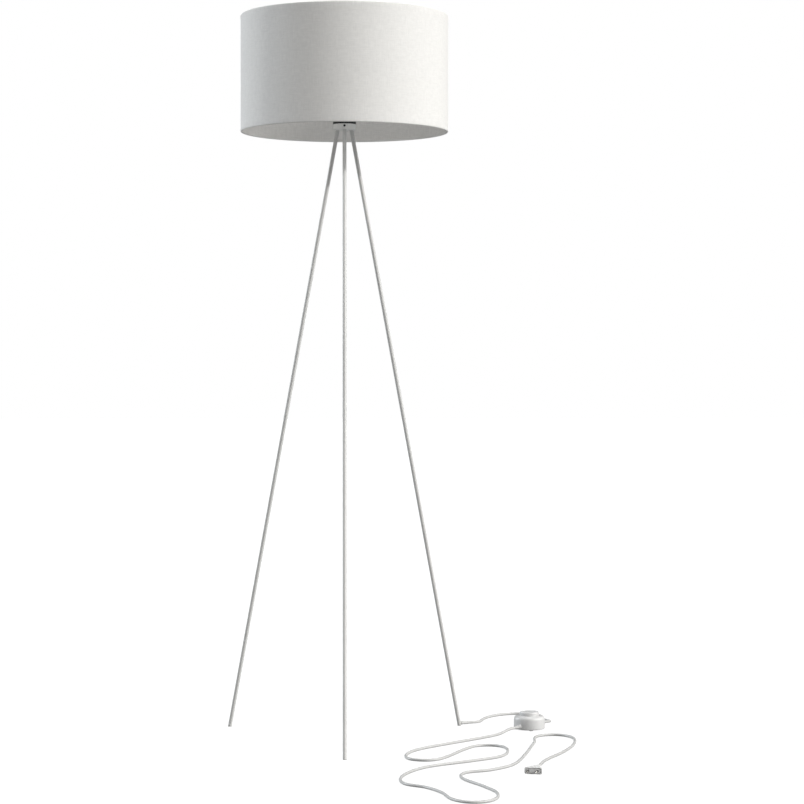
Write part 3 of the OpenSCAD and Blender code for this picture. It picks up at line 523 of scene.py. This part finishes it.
def thread_tree():
    """A rolled screw thread: a tube whose wall waves in and out as it climbs."""
    tree, sizes = new_tree("rolled_thread", radius=float, height=float, pitch=float,
                           depth=float, rows=int, columns=int, material=bpy.types.Material)
    tube = add(tree, "GeometryNodeMeshCylinder",
               {"Vertices": sizes["Columns"], "Side Segments": sizes["Rows"],
                "Radius": sizes["Radius"], "Depth": sizes["Height"]}, fill_type="NONE")
    where = add(tree, "GeometryNodeInputPosition")
    split = add(tree, "ShaderNodeSeparateXYZ", {"Vector": where})
    angle = calc(tree, "ARCTAN2", split.outputs["Y"], split.outputs["X"])
    climb = calc(tree, "DIVIDE", calc(tree, "MULTIPLY", split.outputs["Z"], 2 * math.pi),
                 sizes["Pitch"])
    wave = calc(tree, "COSINE", calc(tree, "SUBTRACT", climb, angle))
    height = calc(tree, "MULTIPLY", sizes["Height"], 0.5)
    margin = calc(tree, "SUBTRACT", height, calc(tree, "ABSOLUTE", split.outputs["Z"]))
    fade = calc(tree, "MINIMUM", calc(tree, "DIVIDE", margin, sizes["Pitch"]), 1.0)
    swell = calc(tree, "MULTIPLY", calc(tree, "MULTIPLY", wave, fade),
                 calc(tree, "DIVIDE", sizes["Depth"], sizes["Radius"]))
    factor = add(tree, "ShaderNodeCombineXYZ",
                 {"X": calc(tree, "ADD", swell, 1.0), "Y": calc(tree, "ADD", swell, 1.0),
                  "Z": 1.0})
    moved = add(tree, "ShaderNodeVectorMath", {0: where, 1: factor}, operation="MULTIPLY")
    rolled = add(tree, "GeometryNodeSetPosition", {"Geometry": tube, "Position": moved})
    close_tree(tree, rolled, sizes["Material"])
    return tree


def rib_tree():
    """Rings in a row along X, each smaller than the last, as on a strain relief."""
    tree, sizes = new_tree("rib_row", first=float, last=float, radius=float, end_radius=float,
                           thickness=float, count=int, material=bpy.types.Material)
    start = add(tree, "ShaderNodeCombineXYZ", {"X": sizes["First"]})
    steps = calc(tree, "SUBTRACT", sizes["Count"], 1.0)
    reach = calc(tree, "SUBTRACT", sizes["Last"], sizes["First"])
    gap = add(tree, "ShaderNodeCombineXYZ", {"X": calc(tree, "DIVIDE", reach, steps)})
    row = add(tree, "GeometryNodeMeshLine",
              {"Count": sizes["Count"], "Start Location": start, "Offset": gap})
    circle = add(tree, "GeometryNodeCurvePrimitiveCircle", {"Resolution": 40, "Radius": 1.0})
    thin = add(tree, "GeometryNodeCurvePrimitiveCircle",
               {"Resolution": 10, "Radius": calc(tree, "DIVIDE", sizes["Thickness"],
                                                 sizes["Radius"])})
    hoop = add(tree, "GeometryNodeCurveToMesh", {"Curve": circle, "Profile Curve": thin})
    index = calc(tree, "DIVIDE", add(tree, "GeometryNodeInputIndex"), steps)
    scale = calc(tree, "MULTIPLY_ADD", index,
                 calc(tree, "SUBTRACT", sizes["End radius"], sizes["Radius"]), sizes["Radius"])
    placed = add(tree, "GeometryNodeInstanceOnPoints",
                 {"Points": row, "Instance": hoop, "Rotation": (0, math.pi / 2, 0),
                  "Scale": scale})
    close_tree(tree, placed, sizes["Material"])
    return tree


def spring_tree():
    """A coil spring of round wire that stands on the origin."""
    tree, sizes = new_tree("coil_spring", radius=float, height=float, turns=float, wire=float,
                           material=bpy.types.Material)
    coil = add(tree, "GeometryNodeCurveSpiral",
               {"Resolution": 28, "Rotations": sizes["Turns"], "Start Radius": sizes["Radius"],
                "End Radius": sizes["Radius"], "Height": sizes["Height"]})
    thin = add(tree, "GeometryNodeCurvePrimitiveCircle",
               {"Resolution": 10, "Radius": calc(tree, "MULTIPLY", sizes["Wire"], 0.5)})
    skin = add(tree, "GeometryNodeCurveToMesh",
               {"Curve": coil, "Profile Curve": thin, "Fill Caps": True})
    close_tree(tree, skin, sizes["Material"])
    return tree


def bead_tree():
    """Small uneven weld beads at equal steps round a circle."""
    tree, sizes = new_tree("weld_beads", radius=float, height=float, bead=float, count=int,
                           turn=float, seed=int, material=bpy.types.Material)
    circle = add(tree, "GeometryNodeMeshCircle",
                 {"Vertices": sizes["Count"], "Radius": sizes["Radius"]})
    lift = add(tree, "ShaderNodeCombineXYZ", {"Z": sizes["Height"]})
    spin = add(tree, "ShaderNodeCombineXYZ", {"Z": sizes["Turn"]})
    ring = add(tree, "GeometryNodeTransform",
               {"Geometry": circle, "Translation": lift, "Rotation": spin})
    ball = add(tree, "GeometryNodeMeshIcoSphere", {"Radius": sizes["Bead"], "Subdivisions": 3})
    where = add(tree, "GeometryNodeInputPosition")
    lumps = add(tree, "ShaderNodeTexNoise", {"Vector": where, "Scale": 900.0})
    size = calc(tree, "MULTIPLY_ADD", lumps, 0.5, 0.75)
    uneven = add(tree, "GeometryNodeSetPosition",
                 {"Geometry": ball,
                  "Position": add(tree, "ShaderNodeVectorMath", {0: where, "Scale": size},
                                  operation="SCALE").outputs[0]})
    random = add(tree, "FunctionNodeRandomValue",
                 {0: (1.2, 0.8, 0.5), 1: (1.5, 1.0, 0.65), "Seed": sizes["Seed"]},
                 data_type="FLOAT_VECTOR")
    placed = add(tree, "GeometryNodeInstanceOnPoints",
                 {"Points": ring, "Instance": uneven, "Scale": random.outputs[0]})
    close_tree(tree, placed, sizes["Material"])
    return tree


# ---------- leads ----------

def lead(name, route):
    """A round lead: one smooth curve through its route's points."""
    curve = bpy.data.curves.new(name, "CURVE")
    curve.dimensions = "3D"
    curve.bevel_depth = LEAD_D / 2
    curve.bevel_resolution = 6
    curve.resolution_u = 16
    curve.use_fill_caps = True
    spline = curve.splines.new("BEZIER")
    spline.bezier_points.add(len(route) - 1)
    points = [Vector(p) for p in route]
    for i, bezier in enumerate(spline.bezier_points):
        here = points[i]
        before = points[max(i - 1, 0)]
        after = points[min(i + 1, len(points) - 1)]
        way = (after - before).normalized()
        bezier.co = here
        bezier.handle_left = here - way * (here - before).length / 3
        bezier.handle_right = here + way * (after - here).length / 3
    piece = bpy.data.objects.new(name, curve)
    bpy.context.scene.collection.objects.link(piece)
    return piece


def place_leads(finishes):
    """Both free leads. The plug, the switch and the relief pieces are on them."""
    sheath = finishes["lead_sheath"]
    to_switch = lead("lead_to_switch", LAMP_ROUTE)
    to_plug = lead("lead_to_plug", MAINS_ROUTE)
    dress(to_switch, sheath, "lead_sheath", "root", "cord_lamp")
    dress(to_plug, sheath, "lead_sheath", "root", "cord_mains")
    return to_switch, to_plug


# ---------- shade ----------

SHADE_R = 225 * MM
SHADE_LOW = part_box("bottom_binding")[0].z
SHADE_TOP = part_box("top_binding")[1].z
RIM_R = 2.05 * MM        # radius of a rim: the wire with cloth round it
CLOTH_T = 0.6 * MM
TUCK = 225               # how far the cloth goes round a rim, in degrees
LINING_T = 1 * MM
CLOTH_LAP = 12 * MM
LAP_AT = 84              # where the cloth's lap starts, in degrees from +X
WALL_DRAW = 0.45 * MM    # how far the cloth lies in from the rims


def rim_arc(z, upper):
    """The middle of the cloth round a rim's wire, from the outside to its tucked edge.
    Radii are measured from the shade's outside."""
    reach = RIM_R - CLOTH_T / 2
    sign = 1 if upper else -1
    turns = [math.radians(a) for a in range(0, TUCK + 1, 15)]
    return [Vector((reach * math.cos(a) - RIM_R, z + sign * reach * math.sin(a))) for a in turns]


def cloth_line():
    """The middle of the cloth in section: round the top rim, down the wall, round the lower."""
    top_z = SHADE_TOP - RIM_R
    low_z = SHADE_LOW + RIM_R
    wall = []
    rows = 24
    for k in range(1, rows):
        z = top_z + (low_z - top_z) * k / rows
        edge = min(top_z - z, z - low_z)
        drawn = WALL_DRAW * (1 - math.exp(-edge / (3 * MM)))
        wall.append(Vector((-CLOTH_T / 2 - drawn, z)))
    return rim_arc(top_z, True)[::-1] + wall + rim_arc(low_z, False)


def thicken(line, thickness):
    """A closed outline that lies half a thickness to each side of a line."""
    left, right = [], []
    for i, here in enumerate(line):
        way = (line[min(i + 1, len(line) - 1)] - line[max(i - 1, 0)]).normalized()
        side = Vector((-way.y, way.x)) * thickness / 2
        left.append(here + side)
        right.append(here - side)
    return left + right[::-1]


def outline_object(name, outline):
    """A flat closed curve that a tree can sweep."""
    curve = bpy.data.curves.new(name, "CURVE")
    curve.dimensions = "3D"
    spline = curve.splines.new("POLY")
    spline.points.add(len(outline) - 1)
    for point, (x, y) in zip(spline.points, outline):
        point.co = (x, y, 0, 1)
    spline.use_cyclic_u = True
    holder = bpy.data.objects.new(name, curve)
    bpy.context.scene.collection.objects.link(holder)
    return holder


def wrap(name, tree, outline, material, lift, slack, turn):
    """A strip of the shade, with its lap at the back."""
    holder = outline_object(name + "_outline", outline)
    piece = grow(name, tree, Matrix.Rotation(turn, 4, "Z"), 30, outline=holder, radius=SHADE_R,
                 lap=CLOTH_LAP, lift=lift, slack=slack, steps=300, material=material)
    bpy.data.objects.remove(holder)
    return piece


def make_shade(finishes):
    """The cloth with its turned edges, the lining inside it, and the welds of the arms."""
    tree = wrap_tree()
    line = cloth_line()
    back = math.radians(LAP_AT)
    cloth = wrap("shade_cloth", tree, thicken(line, CLOTH_T), finishes["shade_cloth"],
                 CLOTH_T, 0.5 * MM, back)
    dress(cloth, finishes["shade_cloth"], "shade_cloth", "root",
          "shade_fabric", "top_binding", "bottom_binding")

    low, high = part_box("shade_liner")
    gap = 0.1 * MM
    edge_r = 0.1 * MM
    outer = -CLOTH_T - WALL_DRAW - gap
    inner = -CLOTH_T - LINING_T
    strip = fillet([(inner, low.z, edge_r), (inner, high.z, edge_r),
                    (outer, high.z, edge_r), (outer, low.z, edge_r)], 2)
    lining = wrap("shade_lining", tree, strip, finishes["shade_lining"], 0.0, 0.0, back)
    dress(lining, finishes["shade_lining"], "shade_lining", "root", "shade_liner")

    beads = bead_tree()
    wire_r = SHADE_R - RIM_R
    under_wire = 1.2 * MM
    ring_low, ring_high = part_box("fitter_ring")
    for name, radius, height, bead in (
            ("arm_welds_top", wire_r - under_wire, SHADE_TOP - RIM_R - under_wire, 1.9 * MM),
            ("arm_welds_low", ring_high.x, (ring_low.z + ring_high.z) / 2, 2.0 * MM)):
        welds = grow(name, beads, Matrix(), 60, radius=radius, height=height, bead=bead,
                     count=3, turn=math.radians(90), seed=7, material=finishes["wire_paint"])
        dress(welds, finishes["wire_paint"], "wire_paint", "root")


# ---------- lampholder and bulb ----------

BULB_PITCH = 3.6 * MM
BULB_THREAD = 0.32 * MM  # how deep the bulb's thread is rolled


def threaded(name, tree, low_z, high_z, radius, pitch, depth, rows, wall, material):
    """A thin threaded tube round the lamp's axis, between two heights."""
    piece = grow(name, tree, Matrix.Translation((0, 0, (low_z + high_z) / 2)), 60,
                 radius=radius, height=high_z - low_z, pitch=pitch, depth=depth, rows=rows,
                 columns=72, material=material)
    solid = piece.modifiers.new("thickness", "SOLIDIFY")
    solid.thickness = wall
    solid.offset = -1
    return piece


def make_lampholder(finishes):
    """The skirt that the shade's rings run on, with its thread, the lampholder's screw shell,
    and the bulb's cap, which has the same thread."""
    black, brass, nickel = (finishes[f] for f in ("black_plastic", "brass", "nickel"))
    low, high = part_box("holder_skirt")
    plain_r = 19.3 * MM
    bore = 14.4 * MM
    flange_r = high.x
    flange_z = low.z + 4 * MM
    skirt = turned("holder_skirt_body", fillet([
        (bore, low.z, 0), (flange_r, low.z, 0.4 * MM), (flange_r, flange_z, 0.6 * MM),
        (plain_r, flange_z, 0.3 * MM), (plain_r, high.z, 1.0 * MM),
        (bore, high.z, 1.0 * MM)]))
    dress(skirt, black, "black_plastic", "root", "holder_skirt")
    tree = thread_tree()
    thread = threaded("holder_thread", tree, flange_z + 1 * MM, high.z - 1.5 * MM, 19.35 * MM,
                      2.5 * MM, 0.45 * MM, 150, 0.3 * MM, black)
    dress(thread, black, "black_plastic", "root")
    low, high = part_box("screw_shell")
    shell = threaded("screw_shell_thread", tree, low.z, high.z, 13.85 * MM, BULB_PITCH,
                     BULB_THREAD, 80, 0.4 * MM, brass)
    dress(shell, brass, "brass", "root", "screw_shell")
    low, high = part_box("bulb_cap")
    cap = threaded("bulb_cap_thread", tree, low.z, high.z, 12.85 * MM, BULB_PITCH,
                   BULB_THREAD, 80, 0.3 * MM, nickel)
    dress(cap, nickel, "nickel", "bulb", "bulb_cap")


def make_bulb(finishes):
    """The opal globe, blown in one with its throat, and the plastic neck under it."""
    globe_r = 30 * MM
    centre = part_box("bulb_globe")[1].z - globe_r
    throat_r = 16.8 * MM
    start = math.asin(throat_r / globe_r)
    glass_t = 1.2 * MM
    steps = 40
    turns = [math.pi - start - (math.pi - start) * k / steps for k in range(steps + 1)]
    outer = [(globe_r * math.sin(a), centre + globe_r * math.cos(a)) for a in turns]
    inner = [((globe_r - glass_t) * math.sin(a), centre + (globe_r - glass_t) * math.cos(a))
             for a in reversed(turns)]
    globe = turned("bulb_opal", outer + inner)
    dress(globe, finishes["opal_globe"], "opal_globe", "bulb", "bulb_globe")
    low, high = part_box("bulb_neck")
    base_r = 13.85 * MM
    neck = turned("bulb_collar", fillet([
        (0, low.z, 0), (base_r, low.z, 0.5 * MM), (base_r, low.z + 2 * MM, 1.5 * MM),
        (throat_r - 0.6 * MM, high.z - 1.6 * MM, 2 * MM), (throat_r, high.z, 0.3 * MM),
        (0, high.z, 0)]), closed=False)
    dress(neck, finishes["white_plastic"], "white_plastic", "bulb", "bulb_neck")


# ---------- foot switch ----------

def switch_frame():
    """Where the switch stands, turned so that +X runs towards the lamp's lead."""
    toward = Vector(LAMP_ROUTE[-1]) - SWITCH_AT
    return Matrix.Translation(SWITCH_AT) @ Matrix.Rotation(math.atan2(toward.y, toward.x), 4, "Z")


def make_relief(name, matrix, first_r, last_r, length, ribs, material, slot, *replaced):
    """A strain relief along +X from the frame's origin: a taper, and the ribs round it."""
    upright = Matrix.Rotation(math.pi / 2, 4, "Y")
    lead_r = LEAD_D / 2 + 0.05 * MM
    core_r = first_r - 0.8 * MM
    end_r = last_r - 0.35 * MM
    core_from, core_to = 3.6 * MM, length - 1.2 * MM
    ribs_from, ribs_to = 5.4 * MM, length - 2.8 * MM
    body = turned(name, fillet([
        (lead_r, 0, 0), (first_r, 0, 0.3 * MM), (first_r, 3 * MM, 0.6 * MM),
        (core_r, core_from, 0.5 * MM), (end_r, core_to, 0.3 * MM),
        (last_r, length - 1.0 * MM, 0.2 * MM), (last_r, length, 0.4 * MM),
        (lead_r, length, 0)]), matrix @ upright, steps=48)
    dress(body, material, slot, "root", *replaced)
    slope = (core_r - end_r) / (core_to - core_from)
    rows = grow(name + "_ribs", rib_tree(), matrix, 60, first=ribs_from, last=ribs_to,
                radius=core_r - slope * (ribs_from - core_from),
                end_radius=end_r + slope * (core_to - ribs_to), thickness=0.62 * MM,
                count=ribs, material=material)
    dress(rows, material, slot, "root")


def make_switch(finishes):
    """The housing, the button with the spring under it, and the strain reliefs of both
    leads."""
    plastic = finishes["switch_plastic"]
    at = switch_frame()
    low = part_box("switch_housing")[0].z
    wall = 2.2 * MM
    mouth = BUTTON_R + 0.6 * MM
    lip_r = BUTTON_R + 2.6 * MM
    housing = turned("switch_shell", fillet([
        (SWITCH_R - wall, low, 0), (SWITCH_R - 0.9 * MM, low, 0.2 * MM),
        (SWITCH_R - 0.9 * MM, low + 1.6 * MM, 0.2 * MM), (SWITCH_R, low + 1.9 * MM, 0.2 * MM),
        (SWITCH_R - 0.2 * MM, SHOULDER_Z - 0.6 * MM, 8.5 * MM),
        (lip_r + 1.0 * MM, SHOULDER_Z, 0.5 * MM), (lip_r, SHOULDER_Z - 0.5 * MM, 0.3 * MM),
        (mouth + 0.6 * MM, SHOULDER_Z - 0.5 * MM, 0.4 * MM),
        (mouth, SHOULDER_Z - 1.2 * MM, 0.3 * MM), (mouth, SHOULDER_Z - wall, 0),
        (SWITCH_R - 8 * MM, SHOULDER_Z - wall, 0), (SWITCH_R - wall, SHOULDER_Z - 9 * MM, 0)],
        8), at, steps=144)
    dress(housing, plastic, "switch_plastic", "root", "switch_housing")

    flange_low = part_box("switch_button")[0].z
    button = turned("switch_cap", fillet([
        (BUTTON_R - 2 * MM, flange_low, 0), (BUTTON_R + 1.6 * MM, flange_low, 0),
        (BUTTON_R + 1.6 * MM, flange_low + 2 * MM, 0), (BUTTON_R, flange_low + 2 * MM, 0),
        (BUTTON_R - 0.3 * MM, BUTTON_TOP, 3 * MM), (BUTTON_R - 4.2 * MM, BUTTON_TOP, 0.6 * MM),
        (BUTTON_R - 5.2 * MM, BUTTON_TOP - 0.7 * MM, 0.8 * MM),
        (0, BUTTON_TOP - 0.45 * MM, 0), (0, BUTTON_TOP - 2.4 * MM, 0),
        (BUTTON_R - 2 * MM, BUTTON_TOP - 2.4 * MM, 0)], 8), at, steps=144)
    dress(button, plastic, "switch_plastic", "switch_press", "switch_button")

    low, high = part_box("switch_spring")
    wire = 1.0 * MM
    coil_r = (high.x - low.x - wire) / 2
    height = high.z - low.z
    spring = grow("switch_coil", spring_tree(), at @ Matrix.Translation((0, 0, low.z + wire / 2)),
                  60, radius=coil_r, height=height - wire, turns=5.0, wire=wire,
                  material=finishes["zinc_steel"])
    dress(spring, finishes["zinc_steel"], "zinc_steel", "root", "switch_spring")
    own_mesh(spring)

    bush_l = (Vector(LAMP_ROUTE[-1]) - SWITCH_AT - Vector((0, 0, BUSH_Z))).length - SWITCH_R
    for name, turn, node in (("bush_lamp", 0, "switch_bush_lamp"),
                             ("bush_mains", math.pi, "switch_bush_mains")):
        out = at @ Matrix.Rotation(turn, 4, "Z") @ Matrix.Translation(
            (SWITCH_R - 1.0 * MM, 0, BUSH_Z))
        make_relief(name, out, 4.6 * MM, 3.6 * MM, bush_l + 1.0 * MM, 6,
                    finishes["lead_bush"], "lead_bush", node)


# ---------- plug ----------

def plug_frame():
    """Where the plug lies: its lead end at the origin, +X towards its pins."""
    end = Vector(MAINS_ROUTE[-1])
    way = end - Vector(MAINS_ROUTE[-2])
    return Matrix.Translation(end) @ Matrix.Rotation(math.atan2(way.y, way.x), 4, "Z")


def rounded_section(x, width, height, corner, dish=0.0, steps=8):
    """A rounded rectangle square to X. dish pulls the middle of both flat sides in."""
    ring = []
    for sy, sz, start in ((1, 1, 0), (-1, 1, 90), (-1, -1, 180), (1, -1, 270)):
        for k in range(steps + 1):
            a = math.radians(start + 90 * k / steps)
            ring.append(Vector((x, sy * (width / 2 - corner) + corner * math.cos(a),
                                sz * (height / 2 - corner) + corner * math.sin(a))))
    flat = []
    for i, here in enumerate(ring):
        flat.append(here)
        after = ring[(i + 1) % len(ring)]
        if abs(here.z - after.z) < 1e-7 and abs(here.y - after.y) > corner:
            flat += [here.lerp(after, k / 12) for k in range(1, 12)]
    for p in flat:
        share = max(0.0, 1 - abs(p.y) / (0.36 * width))
        p.z -= math.copysign(dish * share * share * (3 - 2 * share), p.z)
    return flat


def make_plug(finishes):
    """A flat two-pin plug: a moulded body with a grip on both sides, its tail and its pins."""
    plastic = finishes["plug_plastic"]
    at = plug_frame()
    corner = 3.2 * MM
    # Each station: its place, then the body's width and height and the grip's dish in mm
    stations = [
        (RELIEF_L, 12.5, 10.2, 0.0), (RELIEF_L + 0.8 * MM, 14.2, 11.2, 0.0),
        (RELIEF_L + 3 * MM, 16.0, 11.8, 0.1), (RELIEF_L + 7 * MM, 18.0, 12.2, 0.7),
        (RELIEF_L + 12 * MM, 20.2, 12.6, 1.5), (RELIEF_L + 17 * MM, 23.0, 13.0, 1.4),
        (RELIEF_L + 22 * MM, 26.6, 13.3, 0.6), (RELIEF_L + 27 * MM, 30.6, 13.6, 0.1),
        (RELIEF_L + 31 * MM, 33.6, 13.7, 0.0), (PLUG_FACE - 2 * MM, 35.2, 13.7, 0.0),
        (PLUG_FACE - 0.5 * MM, 35.3, 13.7, 0.0), (PLUG_FACE, 34.5, 12.9, 0.0),
        (PLUG_FACE, 30.4, 11.2, 0.0), (PLUG_FACE - 0.4 * MM, 29.8, 10.8, 0.0),
        (PLUG_FACE - 1.2 * MM, 29.6, 10.6, 0.0)]
    sections = [rounded_section(x, w * MM, h * MM, min(corner, 0.46 * h * MM), d * MM)
                for x, w, h, d in stations]
    body = lofted("plug_shell", sections, at)
    dress(body, plastic, "plug_plastic", "root", "plug_body")
    make_relief("plug_tail", at @ Matrix.Translation((RELIEF_L, 0, 0))
                @ Matrix.Rotation(math.pi, 4, "Z"), 5.0 * MM, 3.6 * MM, RELIEF_L, 7, plastic,
                "plug_plastic", "plug_relief")

    root = PLUG_FACE - 7 * MM
    sleeve_end = PLUG_FACE + 10 * MM
    tip = PLUG_FACE + 19 * MM
    pin_r = 2 * MM
    core_r = 1.4 * MM
    pins = turned("plug_pin_blanks", fillet([
        (0, root, 0), (core_r, root, 0), (core_r, sleeve_end, 0),
        (pin_r, sleeve_end, 0.15 * MM), (pin_r, tip, 1.7 * MM), (0, tip, 0)]), closed=False,
        steps=40)
    lie = Matrix.Rotation(math.pi / 2, 4, "Y")
    bm = bmesh.new()
    for side in (-1, 1):
        blank = pins.data.copy()
        blank.transform(at @ Matrix.Translation((0, side * PIN_SPACING / 2, 0)) @ lie)
        bm.from_mesh(blank)
        bpy.data.meshes.remove(blank)
    bpy.data.objects.remove(pins)
    dress(to_object("plug_pin_pair", bm, Matrix()), finishes["nickel"], "nickel", "root",
          "plug_pins")


# ---------- floor and light ----------

def make_floor():
    """A plain pale floor. It is bright to the camera and doesn't light the lamp from below."""
    mesh = bpy.data.meshes.new("floor")
    reach = 30
    mesh.from_pydata([(-reach, -reach, 0), (reach, -reach, 0), (reach, reach, 0),
                      (-reach, reach, 0)], [], [(0, 1, 2, 3)])
    floor = bpy.data.objects.new("floor", mesh)
    bpy.context.scene.collection.objects.link(floor)
    material, tree, shader = start_material("floor")
    shader.inputs["Base Color"].default_value = (0.20, 0.20, 0.20, 1)
    shader.inputs["Roughness"].default_value = 0.9
    shader.inputs["Specular IOR Level"].default_value = 0.0
    shader.inputs["Emission Color"].default_value = (1, 1, 1, 1)
    shader.inputs["Emission Strength"].default_value = 0.86
    mesh.materials.append(material)
    floor.visible_diffuse = False
    floor.visible_glossy = False
    floor.visible_shadow = False


def sun(name, azimuth, elevation, strength, size, colour=(1, 1, 1)):
    """A sun. Azimuth 0 is in front of the lamp and 90 to its right; size is its width."""
    light = bpy.data.lights.new(name, "SUN")
    light.energy = strength
    light.angle = math.radians(size)
    light.color = colour
    holder = bpy.data.objects.new(name, light)
    a, e = math.radians(azimuth), math.radians(elevation)
    toward = Vector((math.sin(a) * math.cos(e), -math.cos(a) * math.cos(e), math.sin(e)))
    holder.rotation_mode = "QUATERNION"
    holder.rotation_quaternion = toward.to_track_quat("Z", "Y")
    bpy.context.scene.collection.objects.link(holder)


def make_world(above, below):
    """Even light from above and below, and a white backdrop for the camera."""
    world = bpy.data.worlds.new("studio")
    world.use_nodes = True
    tree = world.node_tree
    tree.nodes.clear()
    place = add(tree, "ShaderNodeTexCoord").outputs["Generated"]
    up = add(tree, "ShaderNodeSeparateXYZ", {"Vector": place}).outputs["Z"]
    share = add(tree, "ShaderNodeMapRange",
                {"Value": up, "From Min": -0.15, "From Max": 0.15, "To Min": below,
                 "To Max": above})
    soft = add(tree, "ShaderNodeBackground", {"Strength": share})
    white = add(tree, "ShaderNodeBackground", {"Strength": 1.0})
    white.inputs["Color"].default_value = (1, 1, 1, 1)
    soft.inputs["Color"].default_value = (1, 1, 1, 1)
    seen = add(tree, "ShaderNodeLightPath").outputs["Is Camera Ray"]
    mixed = add(tree, "ShaderNodeMixShader", {0: seen, 1: soft, 2: white})
    out = tree.nodes.new("ShaderNodeOutputWorld")
    tree.links.new(mixed.outputs[0], out.inputs["Surface"])
    bpy.context.scene.world = world


def light_lamp():
    """A crisp key light from the right front, a broad one from the right, a cool one from
    behind on the left, and one from overhead for what lies on the floor."""
    warm = (1.0, 0.99, 0.965)
    sun("key", 46, 24, 1.6, 1.5, warm)
    sun("side", 80, 24, 2.1, 40, warm)
    sun("cool", -110, 20, 2.45, 20, (0.92, 0.965, 1.0))
    sun("overhead", 0, 84, 1.4, 12)
    make_world(above=0.06, below=0.38)


# ---------- the lamp ----------


place_camera()
FINISHES = make_finishes()
dress_nodes(FINISHES)
TO_SWITCH, TO_PLUG = place_leads(FINISHES)
make_shade(FINISHES)
make_lampholder(FINISHES)
make_bulb(FINISHES)
make_switch(FINISHES)
make_plug(FINISHES)
make_floor()
light_lamp()
bpy.context.scene.view_settings.view_transform = "Standard"
